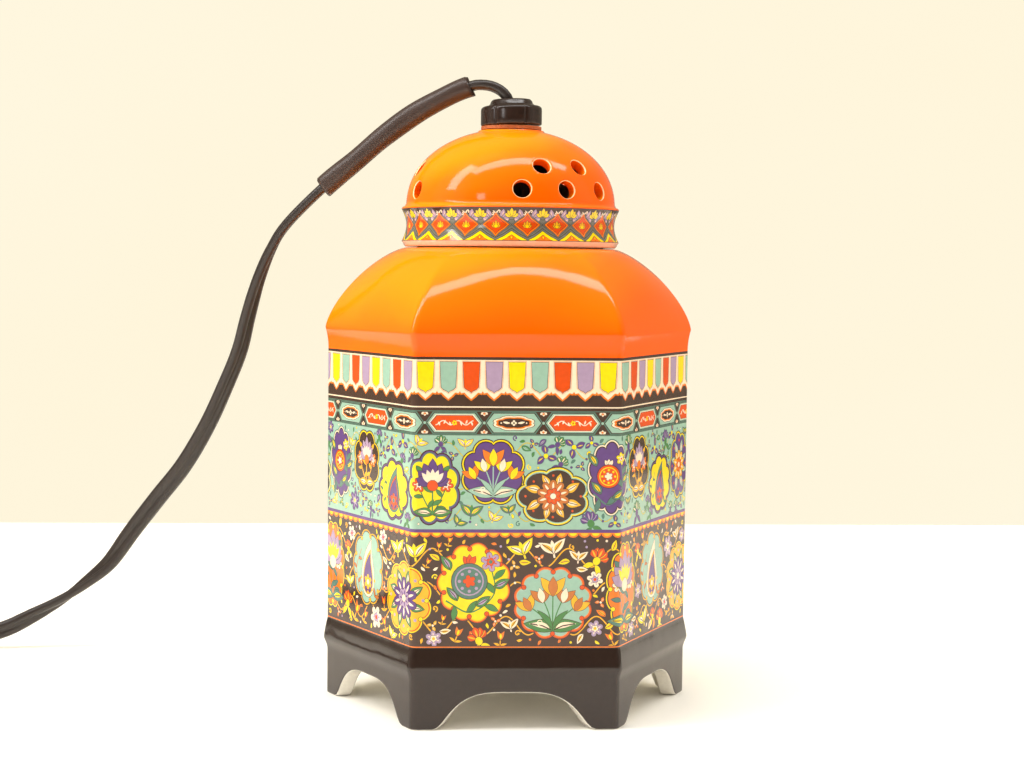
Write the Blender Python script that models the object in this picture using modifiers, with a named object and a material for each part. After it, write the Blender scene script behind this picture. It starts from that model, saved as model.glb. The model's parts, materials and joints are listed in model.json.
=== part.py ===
"""Porcelain fragrance lamp.

A hexagonal porcelain jar stands on six feet. A vented lid caps over its neck, and a small
lampholder with a bulb hangs from the lid on a threaded nipple. A black cap nut holds the
stack together, and the flex leaves through the nut, in a loose sleeve, to a coil and plug.

Metres, +Z up. The origin is at the middle of the base, on the surface it stands on.
The front face looks along -Y.
"""

import math

import bmesh
import bpy
from mathutils import Matrix, Vector

MM = 0.001

# Fits shared by all pieces
CLEARANCE = 0.3 * MM
CUT_OVERRUN = 3.0 * MM
MERGE_DISTANCE = 0.001 * MM
ROUND_POWER = 2.0

# Jar: plan of the hexagon
BODY_HALF_WIDTH = 54.3 * MM
BODY_HALF_DEPTH = 47.0 * MM
FRONT_HALF_WIDTH = 28.7 * MM
CORNER_ROUND = 2.4 * MM
JAR_WALL = 3.2 * MM

# Jar: heights from the surface up
BASE_HEIGHT = 23.0 * MM
BODY_HEIGHT = 80.6 * MM
FLARE_HEIGHT = 6.7 * MM
SHOULDER_HEIGHT = 23.9 * MM
COLLAR_HEIGHT = 6.8 * MM

# Jar: base moulding, recess and feet
BULGE_HEIGHT = 17.3 * MM
BULGE_OUT = 1.1 * MM
APRON_HEIGHT = 13.0 * MM
FOOT_ROUND = 1.2 * MM
RECESS_HEIGHT = 12.0 * MM
FLOOR_THICKNESS = 3.5 * MM
APRON_WALL = 4.2 * MM
FOOT_WIDTH = 6.4 * MM
ARCH_HEIGHT = 10.5 * MM
ARCH_SHARES = [(1.0, 0.0), (0.925, 0.14), (0.81, 0.45), (0.69, 0.7), (0.545, 0.875), (0.38, 0.97),
               (0.2, 1.0)]

# Jar: shoulder and neck
CREASE_OUT = 0.9 * MM
SHOULDER_TOP_RADIUS = 30.9 * MM
SHOULDER_POWER = 1.42
SHOULDER_STEPS = 9
COLLAR_RADIUS = 27.5 * MM
NECK_BORE_RADIUS = 24.2 * MM
COLLAR_CHAMFER = 0.7 * MM

# Lid
LID_HEIGHT = 34.5 * MM
LID_PLAY = 0.8 * MM
LID_WALL = 3.2 * MM
LID_RIM_RADIUS = 31.8 * MM
LID_BAND_RADIUS = 32.4 * MM
LID_RIM_CHAMFER = 1.6 * MM
LID_BAND_HEIGHT = 9.5 * MM
LID_WAIST_DEPTH = 1.4 * MM
LID_WAIST_STEPS = 5
LID_LIP_HEIGHT = 1.0 * MM
DOME_RADIUS = 31.1 * MM
DOME_RISE = 23.0 * MM
DOME_POWER = 2.08
DOME_STEPS = 9
DOME_STOP_SHARE = 0.9
LID_FLAT_RADIUS = 9.7 * MM
LID_HOLE_RADIUS = 5.3 * MM

# Lid: vents, in three groups of five
VENT_RADIUS = 2.85 * MM
VENT_GROUPS = 3
VENT_FIRST_AZIMUTH = 28.5
VENT_LOWER_HEIGHT = 16.4 * MM
VENT_UPPER_HEIGHT = 23.1 * MM
VENT_LOWER_AZIMUTHS = (-25.5, 0.0, 25.5)
VENT_UPPER_AZIMUTHS = (-13.0, 13.0)

# Cap nut and the washer under it
NUT_RADIUS = 9.1 * MM
NUT_HEIGHT = 7.8 * MM
NUT_THREAD_DEPTH = 5.3 * MM
NUT_SHOULDER_DROP = 2.3 * MM
NUT_DOME_STEPS = 4
NUT_BOSS_RADIUS = 4.5 * MM
NUT_BOSS_HEIGHT = 0.4 * MM
NUT_EDGE = 0.35 * MM
NUT_FLUTES = 10
NUT_FLUTE_RADIUS = 1.3 * MM
NUT_FLUTE_DEPTH = 0.45 * MM
CORD_HOLE_RADIUS = 3.1 * MM
WASHER_RADIUS = 9.0 * MM
WASHER_THICKNESS = 1.0 * MM

# Nipple and the hardware inside the lid
NIPPLE_RADIUS = 4.8 * MM
NIPPLE_BORE_RADIUS = 2.9 * MM
INNER_WASHER_RADIUS = 10.0 * MM
INNER_WASHER_THICKNESS = 0.9 * MM
LOCK_NUT_CORNER_RADIUS = 8.1 * MM
LOCK_NUT_THICKNESS = 3.0 * MM

# Lampholder
HOLDER_CAP_RADIUS = 11.6 * MM
HOLDER_CAP_HEIGHT = 12.8 * MM
HOLDER_CAP_WALL = 1.0 * MM
HOLDER_HUB_RADIUS = 7.4 * MM
HOLDER_HUB_THICKNESS = 3.0 * MM
HOLDER_DOME_DROP = 4.6 * MM
HOLDER_DOME_STEPS = 5
SKIRT_OVERLAP = 3.8 * MM
SKIRT_LENGTH = 25.5 * MM
SKIRT_WALL = 1.1 * MM
LEDGE_WIDTH = 1.6 * MM
LEDGE_HEIGHT = 1.6 * MM
BLOCK_SINK = 1.0 * MM
BLOCK_HEIGHT = 5.0 * MM
SHELL_LENGTH = 17.5 * MM
SHELL_WALL = 0.4 * MM
SHELL_FLANGE_THICKNESS = 0.6 * MM
CONTACT_THICKNESS = 0.5 * MM
CONTACT_WIDTH = 3.0 * MM
CONTACT_HALF_LENGTH = 5.0 * MM
CONTACT_DROP = 1.3 * MM
CONTACT_SHARES = [(1.0, 0.0), (0.7, 0.0), (0.35, 1.0)]
TERMINAL_OFFSET = 6.1 * MM
TERMINAL_HEAD_RADIUS = 1.6 * MM
TERMINAL_HEAD_HEIGHT = 1.3 * MM
WIRE_RADIUS = 0.8 * MM
WIRE_SHARES = [(0.0, 1.0), (0.05, 0.77), (0.28, 0.42), (0.62, 0.15), (1.0, 0.0)]

# Bulb
BULB_BASE_RADIUS = 5.95 * MM
BULB_BASE_LENGTH = 11.4 * MM
BULB_BASE_WALL = 0.45 * MM
INSULATOR_SINK = 2.3 * MM
INSULATOR_CONE = 0.9 * MM
TIP_RADIUS = 2.2 * MM
TIP_HEIGHT = 0.7 * MM
BULB_LENGTH = 54.0 * MM
BULB_RADIUS = 11.0 * MM
GLASS_WALL = 0.7 * MM
GLASS_INSERT = 7.6 * MM
GLASS_SHARES = [(0.5, 0.05), (0.62, 0.14), (0.8, 0.27), (0.95, 0.42), (1.0, 0.56), (0.96, 0.7),
                (0.82, 0.84), (0.56, 0.945), (0.28, 0.988)]
STEM_RADIUS = 1.9 * MM
STEM_LENGTH = 15.0 * MM
STEM_FLARE_HEIGHT = 2.5 * MM
LEAD_RADIUS = 0.3 * MM
LEAD_SPACING = 2.0 * MM
LEAD_SPREAD = 8.0 * MM
LEAD_DROP = 13.0 * MM
FILAMENT_RADIUS = 0.3 * MM
FILAMENT_SAG = 2.0 * MM

# Flex and its sleeve
FLEX_WIDTH = 5.1 * MM
FLEX_THICKNESS = 2.6 * MM
FLEX_POINT_STEP = 7.0 * MM
FLEX_BEND_STEP = 1.2 * MM
FLEX_BEND_LENGTH = 12.0 * MM
FLEX_FIRST_DEGREES = 90.0
SLEEVE_RADIUS = 3.25 * MM
SLEEVE_BORE_RADIUS = 2.9 * MM
SLEEVE_START = 16.6 * MM
SLEEVE_LENGTH = 54.0 * MM

# Coil, tie and plug
COIL_CENTRE_X = -211.5 * MM
COIL_CENTRE_Y = 19.5 * MM
COIL_OUTER_RADIUS = 36.0 * MM
COIL_GAP = 0.65 * MM
COIL_START_DEGREES = 103.6
COIL_END_DEGREES = 180.0
COIL_WHOLE_TURNS = 7
COIL_CLIMB_TURNS = 0.5
COIL_POINTS_PER_TURN = 24
TIE_THICKNESS = 0.6 * MM
TIE_WIDTH = 4.0 * MM
TIE_DEGREES = 270.0
TAIL_LENGTH = 19.0 * MM
PLUG_WIDTH = 22.0 * MM
PLUG_THICKNESS = 15.0 * MM
PLUG_LENGTH = 28.0 * MM
PLUG_EDGE = 2.0 * MM
PLUG_NECK_WIDTH = 7.6 * MM
PLUG_SHARES = [(0.0, 0.93), (0.08, 1.0), (0.42, 1.0), (0.62, 0.9), (0.78, 0.62)]
BLADE_LENGTH = 17.0 * MM
BLADE_WIDTH = 6.3 * MM
BLADE_THICKNESS = 1.5 * MM
BLADE_SPACING = 12.7 * MM
BLADE_TIP_SHARE = 0.93

# Heights of the jar
BODY_TOP_Z = BASE_HEIGHT + BODY_HEIGHT
CREASE_Z = BODY_TOP_Z + FLARE_HEIGHT
SEAT_Z = CREASE_Z + SHOULDER_HEIGHT
COLLAR_TOP_Z = SEAT_Z + COLLAR_HEIGHT
FLOOR_TOP_Z = RECESS_HEIGHT + FLOOR_THICKNESS

# Heights of the lid
LID_RIM_Z = SEAT_Z + CLEARANCE
LID_TOP_Z = LID_RIM_Z + LID_HEIGHT
LID_BAND_Z = LID_RIM_Z + LID_RIM_CHAMFER
DOME_BASE_Z = LID_BAND_Z + LID_BAND_HEIGHT + LID_LIP_HEIGHT
LID_CEILING_Z = LID_TOP_Z - LID_WALL
LID_SKIRT_BORE = COLLAR_RADIUS + LID_PLAY

# Heights of the stack on the nipple
WASHER_TOP_Z = LID_TOP_Z + CLEARANCE + WASHER_THICKNESS
NUT_BOTTOM_Z = WASHER_TOP_Z + CLEARANCE
NUT_TOP_Z = NUT_BOTTOM_Z + NUT_HEIGHT
NUT_BORE_TOP_Z = NUT_BOTTOM_Z + NUT_THREAD_DEPTH
THREAD_BORE_RADIUS = NIPPLE_RADIUS + CLEARANCE
INNER_WASHER_TOP_Z = LID_CEILING_Z - CLEARANCE
LOCK_NUT_TOP_Z = INNER_WASHER_TOP_Z - INNER_WASHER_THICKNESS - CLEARANCE
HOLDER_TOP_Z = LOCK_NUT_TOP_Z - LOCK_NUT_THICKNESS - CLEARANCE
HUB_BOTTOM_Z = HOLDER_TOP_Z - HOLDER_HUB_THICKNESS
HOLDER_BOTTOM_Z = HOLDER_TOP_Z - HOLDER_CAP_HEIGHT
NIPPLE_TOP_Z = NUT_BORE_TOP_Z - CLEARANCE
NIPPLE_BOTTOM_Z = HUB_BOTTOM_Z - CLEARANCE
FLEX_INNER_BOTTOM_Z = NIPPLE_BOTTOM_Z - CLEARANCE

# Heights inside the lampholder
HOLDER_CAP_BORE = HOLDER_CAP_RADIUS - HOLDER_CAP_WALL
SKIRT_RADIUS = HOLDER_CAP_BORE - CLEARANCE
SKIRT_BORE = SKIRT_RADIUS - SKIRT_WALL
SKIRT_TOP_Z = HOLDER_BOTTOM_Z + SKIRT_OVERLAP
SKIRT_BOTTOM_Z = SKIRT_TOP_Z - SKIRT_LENGTH
BLOCK_TOP_Z = SKIRT_TOP_Z - BLOCK_SINK
BLOCK_BOTTOM_Z = BLOCK_TOP_Z - BLOCK_HEIGHT
LEDGE_TOP_Z = BLOCK_BOTTOM_Z - CLEARANCE
LEDGE_BORE = SKIRT_BORE - LEDGE_WIDTH
SHELL_TOP_Z = BLOCK_BOTTOM_Z - CLEARANCE
SHELL_BORE = BULB_BASE_RADIUS + CLEARANCE

# Heights of the bulb
TIP_TOP_Z = BLOCK_BOTTOM_Z - CLEARANCE - CONTACT_THICKNESS - CONTACT_DROP - CLEARANCE
INSULATOR_TOP_Z = TIP_TOP_Z - TIP_HEIGHT - CLEARANCE
BULB_BASE_TOP_Z = INSULATOR_TOP_Z - INSULATOR_CONE
BULB_BASE_BOTTOM_Z = BULB_BASE_TOP_Z - BULB_BASE_LENGTH
BULB_BASE_BORE = BULB_BASE_RADIUS - BULB_BASE_WALL
GLASS_RADIUS_AT_NECK = BULB_BASE_BORE - CLEARANCE
GLASS_TOP_Z = BULB_BASE_BOTTOM_Z + GLASS_INSERT
GLASS_BOTTOM_Z = TIP_TOP_Z - BULB_LENGTH
STEM_BOTTOM_Z = GLASS_TOP_Z - STEM_LENGTH

# Places along the flex and coil
FLEX_HALF_THICKNESS = FLEX_THICKNESS / 2
FLEX_FLAT_HALF = (FLEX_WIDTH - FLEX_THICKNESS) / 2
COIL_PITCH = FLEX_THICKNESS + COIL_GAP
COIL_LAYER_STEP = FLEX_WIDTH + COIL_GAP
COIL_TURNS = COIL_WHOLE_TURNS + (COIL_END_DEGREES - COIL_START_DEGREES) / 360
COIL_INNER_RADIUS = COIL_OUTER_RADIUS - COIL_PITCH * COIL_TURNS / 2
COIL_LOW_Z = TIE_THICKNESS + CLEARANCE + FLEX_WIDTH / 2
COIL_HIGH_Z = COIL_LOW_Z + COIL_LAYER_STEP

# The free flex: points in millimetres, chosen by hand along its middle, from the cap nut down
FLEX_ROUTE = [Vector(place) * MM for place in (
    (-0.5, 0.0, 178.8),
    (-0.5, 0.0, 179.8),
    (-1.8, 0.2, 181.3),
    (-4.6, 0.7, 182.5),
    (-8.2, 1.3, 182.9),
    (-11.8, 2.1, 182.5),
    (-18.0, 3.0, 180.0),
    (-28.7, 4.6, 174.1),
    (-37.9, 6.1, 167.4),
    (-46.9, 7.7, 159.7),
    (-56.3, 9.7, 151.2),
    (-66.5, 13.3, 140.6),
    (-71.4, 16.1, 133.1),
    (-75.6, 19.3, 123.3),
    (-79.3, 23.5, 112.1),
    (-82.9, 27.7, 101.5),
    (-87.9, 33.0, 89.9),
    (-94.1, 38.4, 77.1),
    (-102.1, 43.8, 63.9),
    (-111.4, 49.4, 52.2),
    (-120.3, 54.2, 41.3),
    (-128.4, 58.0, 30.9),
    (-135.4, 60.6, 23.6),
    (-144.1, 62.9, 17.1),
    (-153.9, 64.0, 11.4),
    (-164.6, 64.4, 6.2),
    (-177.0, 63.6, 3.7),
    (-190.0, 61.4, 3.45),
)]
FLEX_TWISTS = [(0.0, 0.0), (0.4, 0.0), (0.62, 80.0), (0.72, 100.0), (0.82, 175.0), (0.95, 260.0),
               (1.0, 270.0)]

# Counts that set how fine the round shapes are
STEPS_LARGE = 48
STEPS_SMALL = 28
NUT_STEPS = 40
GLASS_STEPS = 20
STEM_STEPS = 16
SCREW_STEPS = 12
VENT_STEPS = 14
FLUTE_STEPS = 12
FILAMENT_STEPS = 8
HOLLOW_STEPS = 2
SPLINE_STEPS = 12
CORNER_POINTS = 3
SIDE_POINTS = 5


def clear_scene():
    for old in list(bpy.data.objects):
        bpy.data.objects.remove(old, do_unlink=True)


def new_collection(name):
    collection = bpy.data.collections.new(name)
    bpy.context.scene.collection.children.link(collection)
    return collection


clear_scene()
LAMP = new_collection("fragrance_lamp")
CUTTERS = new_collection("cutters")


def material(name, colour, roughness, metallic=0.0):
    made = bpy.data.materials.new(name)
    made.use_nodes = True
    shader = made.node_tree.nodes["Principled BSDF"]
    shader.inputs["Base Color"].default_value = (*colour, 1.0)
    shader.inputs["Roughness"].default_value = roughness
    shader.inputs["Metallic"].default_value = metallic
    return made


ORANGE_GLAZE = material("orange_glaze", (0.9, 0.25, 0.01), 0.12)
BLACK_PHENOLIC = material("black_phenolic", (0.012, 0.011, 0.011), 0.25)
BROWN_FIBRE = material("brown_fibre", (0.16, 0.06, 0.03), 0.8)
BRASS = material("brass", (0.72, 0.5, 0.2), 0.3, 1.0)
STEEL = material("zinc_steel", (0.55, 0.55, 0.56), 0.35, 1.0)
ALUMINIUM = material("aluminium", (0.75, 0.75, 0.76), 0.3, 1.0)
GLASS = material("frosted_glass", (0.9, 0.9, 0.88), 0.3)
BLACK_PVC = material("black_pvc", (0.014, 0.013, 0.013), 0.4)
TUNGSTEN = material("tungsten", (0.3, 0.3, 0.3), 0.4, 1.0)
COPPER = material("copper", (0.7, 0.33, 0.2), 0.4, 1.0)


def finish_piece(piece, finish, smooth_degrees=30.0):
    piece.data.materials.clear()
    piece.data.materials.append(finish)
    piece.data.shade_smooth()
    piece.data.set_sharp_from_angle(angle=math.radians(smooth_degrees))
    return piece


def mesh_object(name, bm, collection):
    bmesh.ops.recalc_face_normals(bm, faces=bm.faces)
    mesh = bpy.data.meshes.new(name)
    bm.to_mesh(mesh)
    bm.free()
    piece = bpy.data.objects.new(name, mesh)
    collection.objects.link(piece)
    return piece


def hide_cutter(cutter):
    cutter.hide_render = True
    cutter.display_type = "WIRE"
    return cutter


def cut(piece, cutter):
    hide_cutter(cutter)
    boolean = piece.modifiers.new("cut", "BOOLEAN")
    boolean.operation = "DIFFERENCE"
    boolean.solver = "EXACT"
    boolean.object = cutter
    return piece


def turned(name, profile, finish, steps=STEPS_SMALL, closed=True, collection=LAMP):
    """A profile of (radius, height) points turned about Z. It runs down its outer side."""
    bm = bmesh.new()
    points = [bm.verts.new((radius, 0.0, height)) for radius, height in profile]
    for first, second in zip(points, points[1:]):
        bm.edges.new((first, second))
    if closed:
        bm.edges.new((points[-1], points[0]))
    mesh = bpy.data.meshes.new(name)
    bm.to_mesh(mesh)
    bm.free()
    piece = bpy.data.objects.new(name, mesh)
    collection.objects.link(piece)
    screw = piece.modifiers.new("turn", "SCREW")
    screw.axis = "Z"
    screw.steps = steps
    screw.render_steps = steps
    screw.use_merge_vertices = True
    screw.merge_threshold = MERGE_DISTANCE
    if finish is not None:
        piece.data.materials.append(finish)
    screw.use_smooth_shade = True
    return piece


def realise(piece):
    """The evaluated shape as a plain mesh, in place of the piece's own data and modifiers."""
    graph = bpy.context.evaluated_depsgraph_get()
    mesh = bpy.data.meshes.new_from_object(piece.evaluated_get(graph))
    bm = bmesh.new()
    bm.from_mesh(mesh)
    bmesh.ops.remove_doubles(bm, verts=bm.verts, dist=MERGE_DISTANCE)
    bmesh.ops.recalc_face_normals(bm, faces=bm.faces)
    bm.to_mesh(mesh)
    bm.free()
    name = piece.name
    place = piece.matrix_world.copy()
    collection = piece.users_collection[0]
    bpy.data.objects.remove(piece, do_unlink=True)
    plain = bpy.data.objects.new(name, mesh)
    plain.matrix_world = place
    collection.objects.link(plain)
    return plain


def flat_shape(name, outlines, thickness, finish=None, collection=LAMP):
    """Closed flat outlines of (x, y) points, filled and given a thickness along local Z."""
    curve = bpy.data.curves.new(name, "CURVE")
    curve.dimensions = "2D"
    curve.fill_mode = "BOTH"
    curve.extrude = thickness / 2
    for outline in outlines:
        spline = curve.splines.new("POLY")
        spline.points.add(len(outline) - 1)
        for point, (x, y) in zip(spline.points, outline):
            point.co = (x, y, 0.0, 1.0)
        spline.use_cyclic_u = True
    piece = bpy.data.objects.new(name, curve)
    collection.objects.link(piece)
    if finish is not None:
        curve.materials.append(finish)
    return piece


def tube(name, points, radius, sides_level, finish, flat_half=0.0, tilts=None, collection=LAMP):
    """A tube with filled caps along a line of points, flattened where flat_half is given."""
    curve = bpy.data.curves.new(name, "CURVE")
    curve.dimensions = "3D"
    curve.fill_mode = "FULL"
    curve.bevel_depth = radius
    curve.bevel_resolution = sides_level
    curve.extrude = flat_half
    curve.use_fill_caps = True
    spline = curve.splines.new("POLY")
    spline.points.add(len(points) - 1)
    for number, place in enumerate(points):
        spline.points[number].co = (*place, 1.0)
        if tilts is not None:
            spline.points[number].tilt = tilts[number]
    if finish is not None:
        curve.materials.append(finish)
    piece = bpy.data.objects.new(name, curve)
    collection.objects.link(piece)
    return piece


def circle(radius, count, start=0.0):
    return [(radius * math.cos(start + 2 * math.pi * n / count),
             radius * math.sin(start + 2 * math.pi * n / count)) for n in range(count)]


def hexagon_corners(half_width):
    """The jar's plan hexagon, scaled so that its side corners lie at half_width."""
    scale = half_width / BODY_HALF_WIDTH
    front = FRONT_HALF_WIDTH * scale
    depth = BODY_HALF_DEPTH * scale
    return [Vector(corner) for corner in ((half_width, 0.0), (front, depth), (-front, depth),
                                          (-half_width, 0.0), (-front, -depth), (front, -depth))]


def rounded_hexagon(half_width, roundness=0.0, circle_radius=0.0):
    """Plan points of the hexagon with rounded corners, drawn towards a circle by roundness."""
    corners = hexagon_corners(half_width)
    points = []
    for number, corner in enumerate(corners):
        before = (corners[number - 1] - corner).normalized()
        after = (corners[(number + 1) % len(corners)] - corner).normalized()
        reach = CORNER_ROUND * math.tan((math.pi - before.angle(after)) / 2)
        for step in range(CORNER_POINTS):
            share = step / (CORNER_POINTS - 1)
            points.append(corner + before * reach * (1 - share) ** 2 + after * reach * share ** 2)
        start = corner + after * reach
        following = corners[(number + 1) % len(corners)]
        beyond = (corners[(number + 2) % len(corners)] - following).normalized()
        reach_next = CORNER_ROUND * math.tan((math.pi - (-after).angle(beyond)) / 2)
        end = following - after * reach_next
        for step in range(1, SIDE_POINTS + 1):
            points.append(start.lerp(end, step / (SIDE_POINTS + 1)))
    if roundness > 0.0:
        points = [p.lerp(p.normalized() * circle_radius, roundness) for p in points]
    return points


def loft(name, rings, finish, collection=LAMP):
    """A closed solid through rings of plan points, each at its own height, lowest first."""
    bm = bmesh.new()
    levels = [[bm.verts.new((p[0], p[1], height)) for p in plan] for plan, height in rings]
    for lower, upper in zip(levels, levels[1:]):
        for n in range(len(lower)):
            following = (n + 1) % len(lower)
            bm.faces.new((lower[n], lower[following], upper[following], upper[n]))
    bm.faces.new(levels[0])
    bm.faces.new(levels[-1])
    piece = mesh_object(name, bm, collection)
    if finish is not None:
        finish_piece(piece, finish)
    return piece


def power_arc(across, along, power, steps, stop=1.0):
    """Points (out, up) of a rounded quarter, from (across, 0) towards (0, along)."""
    points = []
    for step in range(steps + 1):
        angle = stop * step / steps * math.pi / 2
        out = across * max(0.0, math.cos(angle)) ** (2 / power)
        points.append((out, along * math.sin(angle) ** (2 / power)))
    return points


def smooth_step(share):
    return share * share * (3 - 2 * share)


def shoulder_rings(crease_radius, top_radius, low_z, rise):
    """Rings from the hexagonal crease up to the round neck."""
    rings = []
    arc = power_arc(crease_radius - top_radius, rise, SHOULDER_POWER, SHOULDER_STEPS)
    for number, (out, up) in enumerate(arc):
        radius = top_radius + out
        roundness = smooth_step(number / SHOULDER_STEPS)
        rings.append((rounded_hexagon(radius, roundness, radius), low_z + up))
    return rings


def jar_outer():
    foot_in = BODY_HALF_WIDTH - FOOT_ROUND
    rings = [
        (rounded_hexagon(foot_in), 0.0),
        (rounded_hexagon(BODY_HALF_WIDTH - FOOT_ROUND * (1 - math.sin(math.pi / 4))),
         FOOT_ROUND * (1 - math.cos(math.pi / 4))),
        (rounded_hexagon(BODY_HALF_WIDTH), FOOT_ROUND),
        (rounded_hexagon(BODY_HALF_WIDTH), APRON_HEIGHT),
        (rounded_hexagon(BODY_HALF_WIDTH + BULGE_OUT / 2), (APRON_HEIGHT + BULGE_HEIGHT) / 2),
        (rounded_hexagon(BODY_HALF_WIDTH + BULGE_OUT), BULGE_HEIGHT),
        (rounded_hexagon(BODY_HALF_WIDTH + BULGE_OUT / 2), (BULGE_HEIGHT + BASE_HEIGHT) / 2),
        (rounded_hexagon(BODY_HALF_WIDTH), BASE_HEIGHT),
        (rounded_hexagon(BODY_HALF_WIDTH), BODY_TOP_Z),
        (rounded_hexagon(BODY_HALF_WIDTH + CREASE_OUT / 3), (BODY_TOP_Z + CREASE_Z) / 2),
    ]
    crease = BODY_HALF_WIDTH + CREASE_OUT
    rings += shoulder_rings(crease, SHOULDER_TOP_RADIUS, CREASE_Z, SHOULDER_HEIGHT)
    collar_top = COLLAR_RADIUS - COLLAR_CHAMFER
    for radius, height in ((COLLAR_RADIUS, SEAT_Z), (COLLAR_RADIUS, COLLAR_TOP_Z - COLLAR_CHAMFER),
                           (collar_top, COLLAR_TOP_Z)):
        rings.append(([p.normalized() * radius for p in rounded_hexagon(BODY_HALF_WIDTH)], height))
    return rings


def jar():
    body = loft("jar", jar_outer(), ORANGE_GLAZE)
    corner_wall = JAR_WALL / math.cos(math.pi / 6)
    inside = BODY_HALF_WIDTH - corner_wall
    corner = CORNER_ROUND
    rings = [
        (rounded_hexagon(inside - corner), FLOOR_TOP_Z),
        (rounded_hexagon(inside), FLOOR_TOP_Z + corner),
        (rounded_hexagon(inside), BODY_TOP_Z),
    ]
    rings += shoulder_rings(inside + CREASE_OUT, NECK_BORE_RADIUS, CREASE_Z - JAR_WALL / 3,
                            SHOULDER_HEIGHT - JAR_WALL * 2 / 3)
    neck = [p.normalized() * NECK_BORE_RADIUS for p in rounded_hexagon(BODY_HALF_WIDTH)]
    rings.append((neck, COLLAR_TOP_Z + CUT_OVERRUN))
    cut(body, loft("jar_hollow", rings, None, CUTTERS))
    recess = BODY_HALF_WIDTH - APRON_WALL / math.cos(math.pi / 6)
    rings = [
        (rounded_hexagon(recess), -CUT_OVERRUN),
        (rounded_hexagon(recess), RECESS_HEIGHT - corner / 2),
        (rounded_hexagon(recess - corner / 2), RECESS_HEIGHT),
    ]
    cut(body, loft("jar_recess", rings, None, CUTTERS))
    corners = hexagon_corners(BODY_HALF_WIDTH)
    for number in range(3):
        first = corners[number]
        second = corners[number + 1]
        cut(body, arch_cutter("arch_%d" % number, first, second))
    return body


def arch_cutter(name, first, second):
    """A tunnel of the arch outline, through one face of the base and the face opposite."""
    half = (second - first).length / 2 - FOOT_WIDTH
    outline = [(half * wide, ARCH_HEIGHT * high) for wide, high in ARCH_SHARES]
    outline = [(half, -CUT_OVERRUN)] + outline
    outline += [(-x, y) for x, y in reversed(outline)]
    reach = 2 * (BODY_HALF_WIDTH + BULGE_OUT + CUT_OVERRUN)
    tunnel = flat_shape(name, [outline], reach, None, CUTTERS)
    along = Vector((*(second - first).normalized(), 0.0))
    up = Vector((0.0, 0.0, 1.0))
    through = along.cross(up)
    middle = along * (along.to_2d().dot((first + second) / 2))
    turn = Matrix((along, up, through)).transposed().to_4x4()
    tunnel.matrix_world = Matrix.Translation(middle) @ turn
    bpy.context.view_layer.update()
    return realise(tunnel)


def dome_points(radius, rise, base_z, flat_radius, flat_z):
    """The dome's side from its foot up to where it meets the flat top."""
    points = []
    for out, up in power_arc(radius, rise, DOME_POWER, DOME_STEPS, DOME_STOP_SHARE):
        if out > flat_radius and base_z + up < flat_z:
            points.append((out, base_z + up))
    return points


def lid():
    outer = dome_points(DOME_RADIUS, DOME_RISE, DOME_BASE_Z, LID_FLAT_RADIUS, LID_TOP_Z)
    outer = [(LID_HOLE_RADIUS, LID_TOP_Z), (LID_FLAT_RADIUS, LID_TOP_Z)] + list(reversed(outer))
    band = []
    for step in range(LID_WAIST_STEPS + 1):
        share = step / LID_WAIST_STEPS
        radius = LID_BAND_RADIUS - LID_WAIST_DEPTH * math.sin(math.pi * share)
        band.append((radius, LID_BAND_Z + LID_BAND_HEIGHT * (1 - share)))
    rim = [(LID_RIM_RADIUS, LID_RIM_Z), (LID_SKIRT_BORE + CLEARANCE, LID_RIM_Z),
           (LID_SKIRT_BORE, LID_RIM_Z + CLEARANCE)]
    ceiling = INNER_WASHER_RADIUS + CLEARANCE
    inner = dome_points(LID_SKIRT_BORE, DOME_RISE - LID_WALL, DOME_BASE_Z, ceiling, LID_CEILING_Z)
    inner += [(ceiling, LID_CEILING_Z), (LID_HOLE_RADIUS, LID_CEILING_Z)]
    cap = turned("lid", outer + band + rim + inner, ORANGE_GLAZE, STEPS_LARGE)
    return cut(cap, vent_cutters())


def drill(bm, radius, length, steps, place):
    """A closed cylinder, centred where it is placed, for a cutter."""
    bmesh.ops.create_cone(bm, cap_ends=True, segments=steps, radius1=radius, radius2=radius, depth=length,
                          matrix=place)


def dome_normal(height):
    """The dome's radius at a height above its foot, and the slope of its outward normal."""
    up = height / DOME_RISE
    radius = DOME_RADIUS * (1 - up ** DOME_POWER) ** (1 / DOME_POWER)
    out_slope = (radius / DOME_RADIUS) ** (DOME_POWER - 1) / DOME_RADIUS
    up_slope = up ** (DOME_POWER - 1) / DOME_RISE
    return radius, math.atan2(up_slope, out_slope)


def vent_cutters():
    bm = bmesh.new()
    rows = ((VENT_LOWER_HEIGHT, VENT_LOWER_AZIMUTHS), (VENT_UPPER_HEIGHT, VENT_UPPER_AZIMUTHS))
    for group in range(VENT_GROUPS):
        for above_rim, azimuths in rows:
            height = LID_RIM_Z + above_rim - DOME_BASE_Z
            radius, rise = dome_normal(height)
            for offset in azimuths:
                azimuth = math.radians(VENT_FIRST_AZIMUTH + offset + 360 * group / VENT_GROUPS)
                turn = Matrix.Rotation(azimuth - math.pi / 2, 4, "Z")
                turn = turn @ Matrix.Rotation(math.pi / 2 - rise, 4, "Y")
                middle = Vector((math.sin(azimuth) * radius, -math.cos(azimuth) * radius,
                                 DOME_BASE_Z + height))
                place = Matrix.Translation(middle) @ turn
                drill(bm, VENT_RADIUS, 2 * LID_WALL + CUT_OVERRUN, VENT_STEPS, place)
    return mesh_object("vent_drills", bm, CUTTERS)


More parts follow.
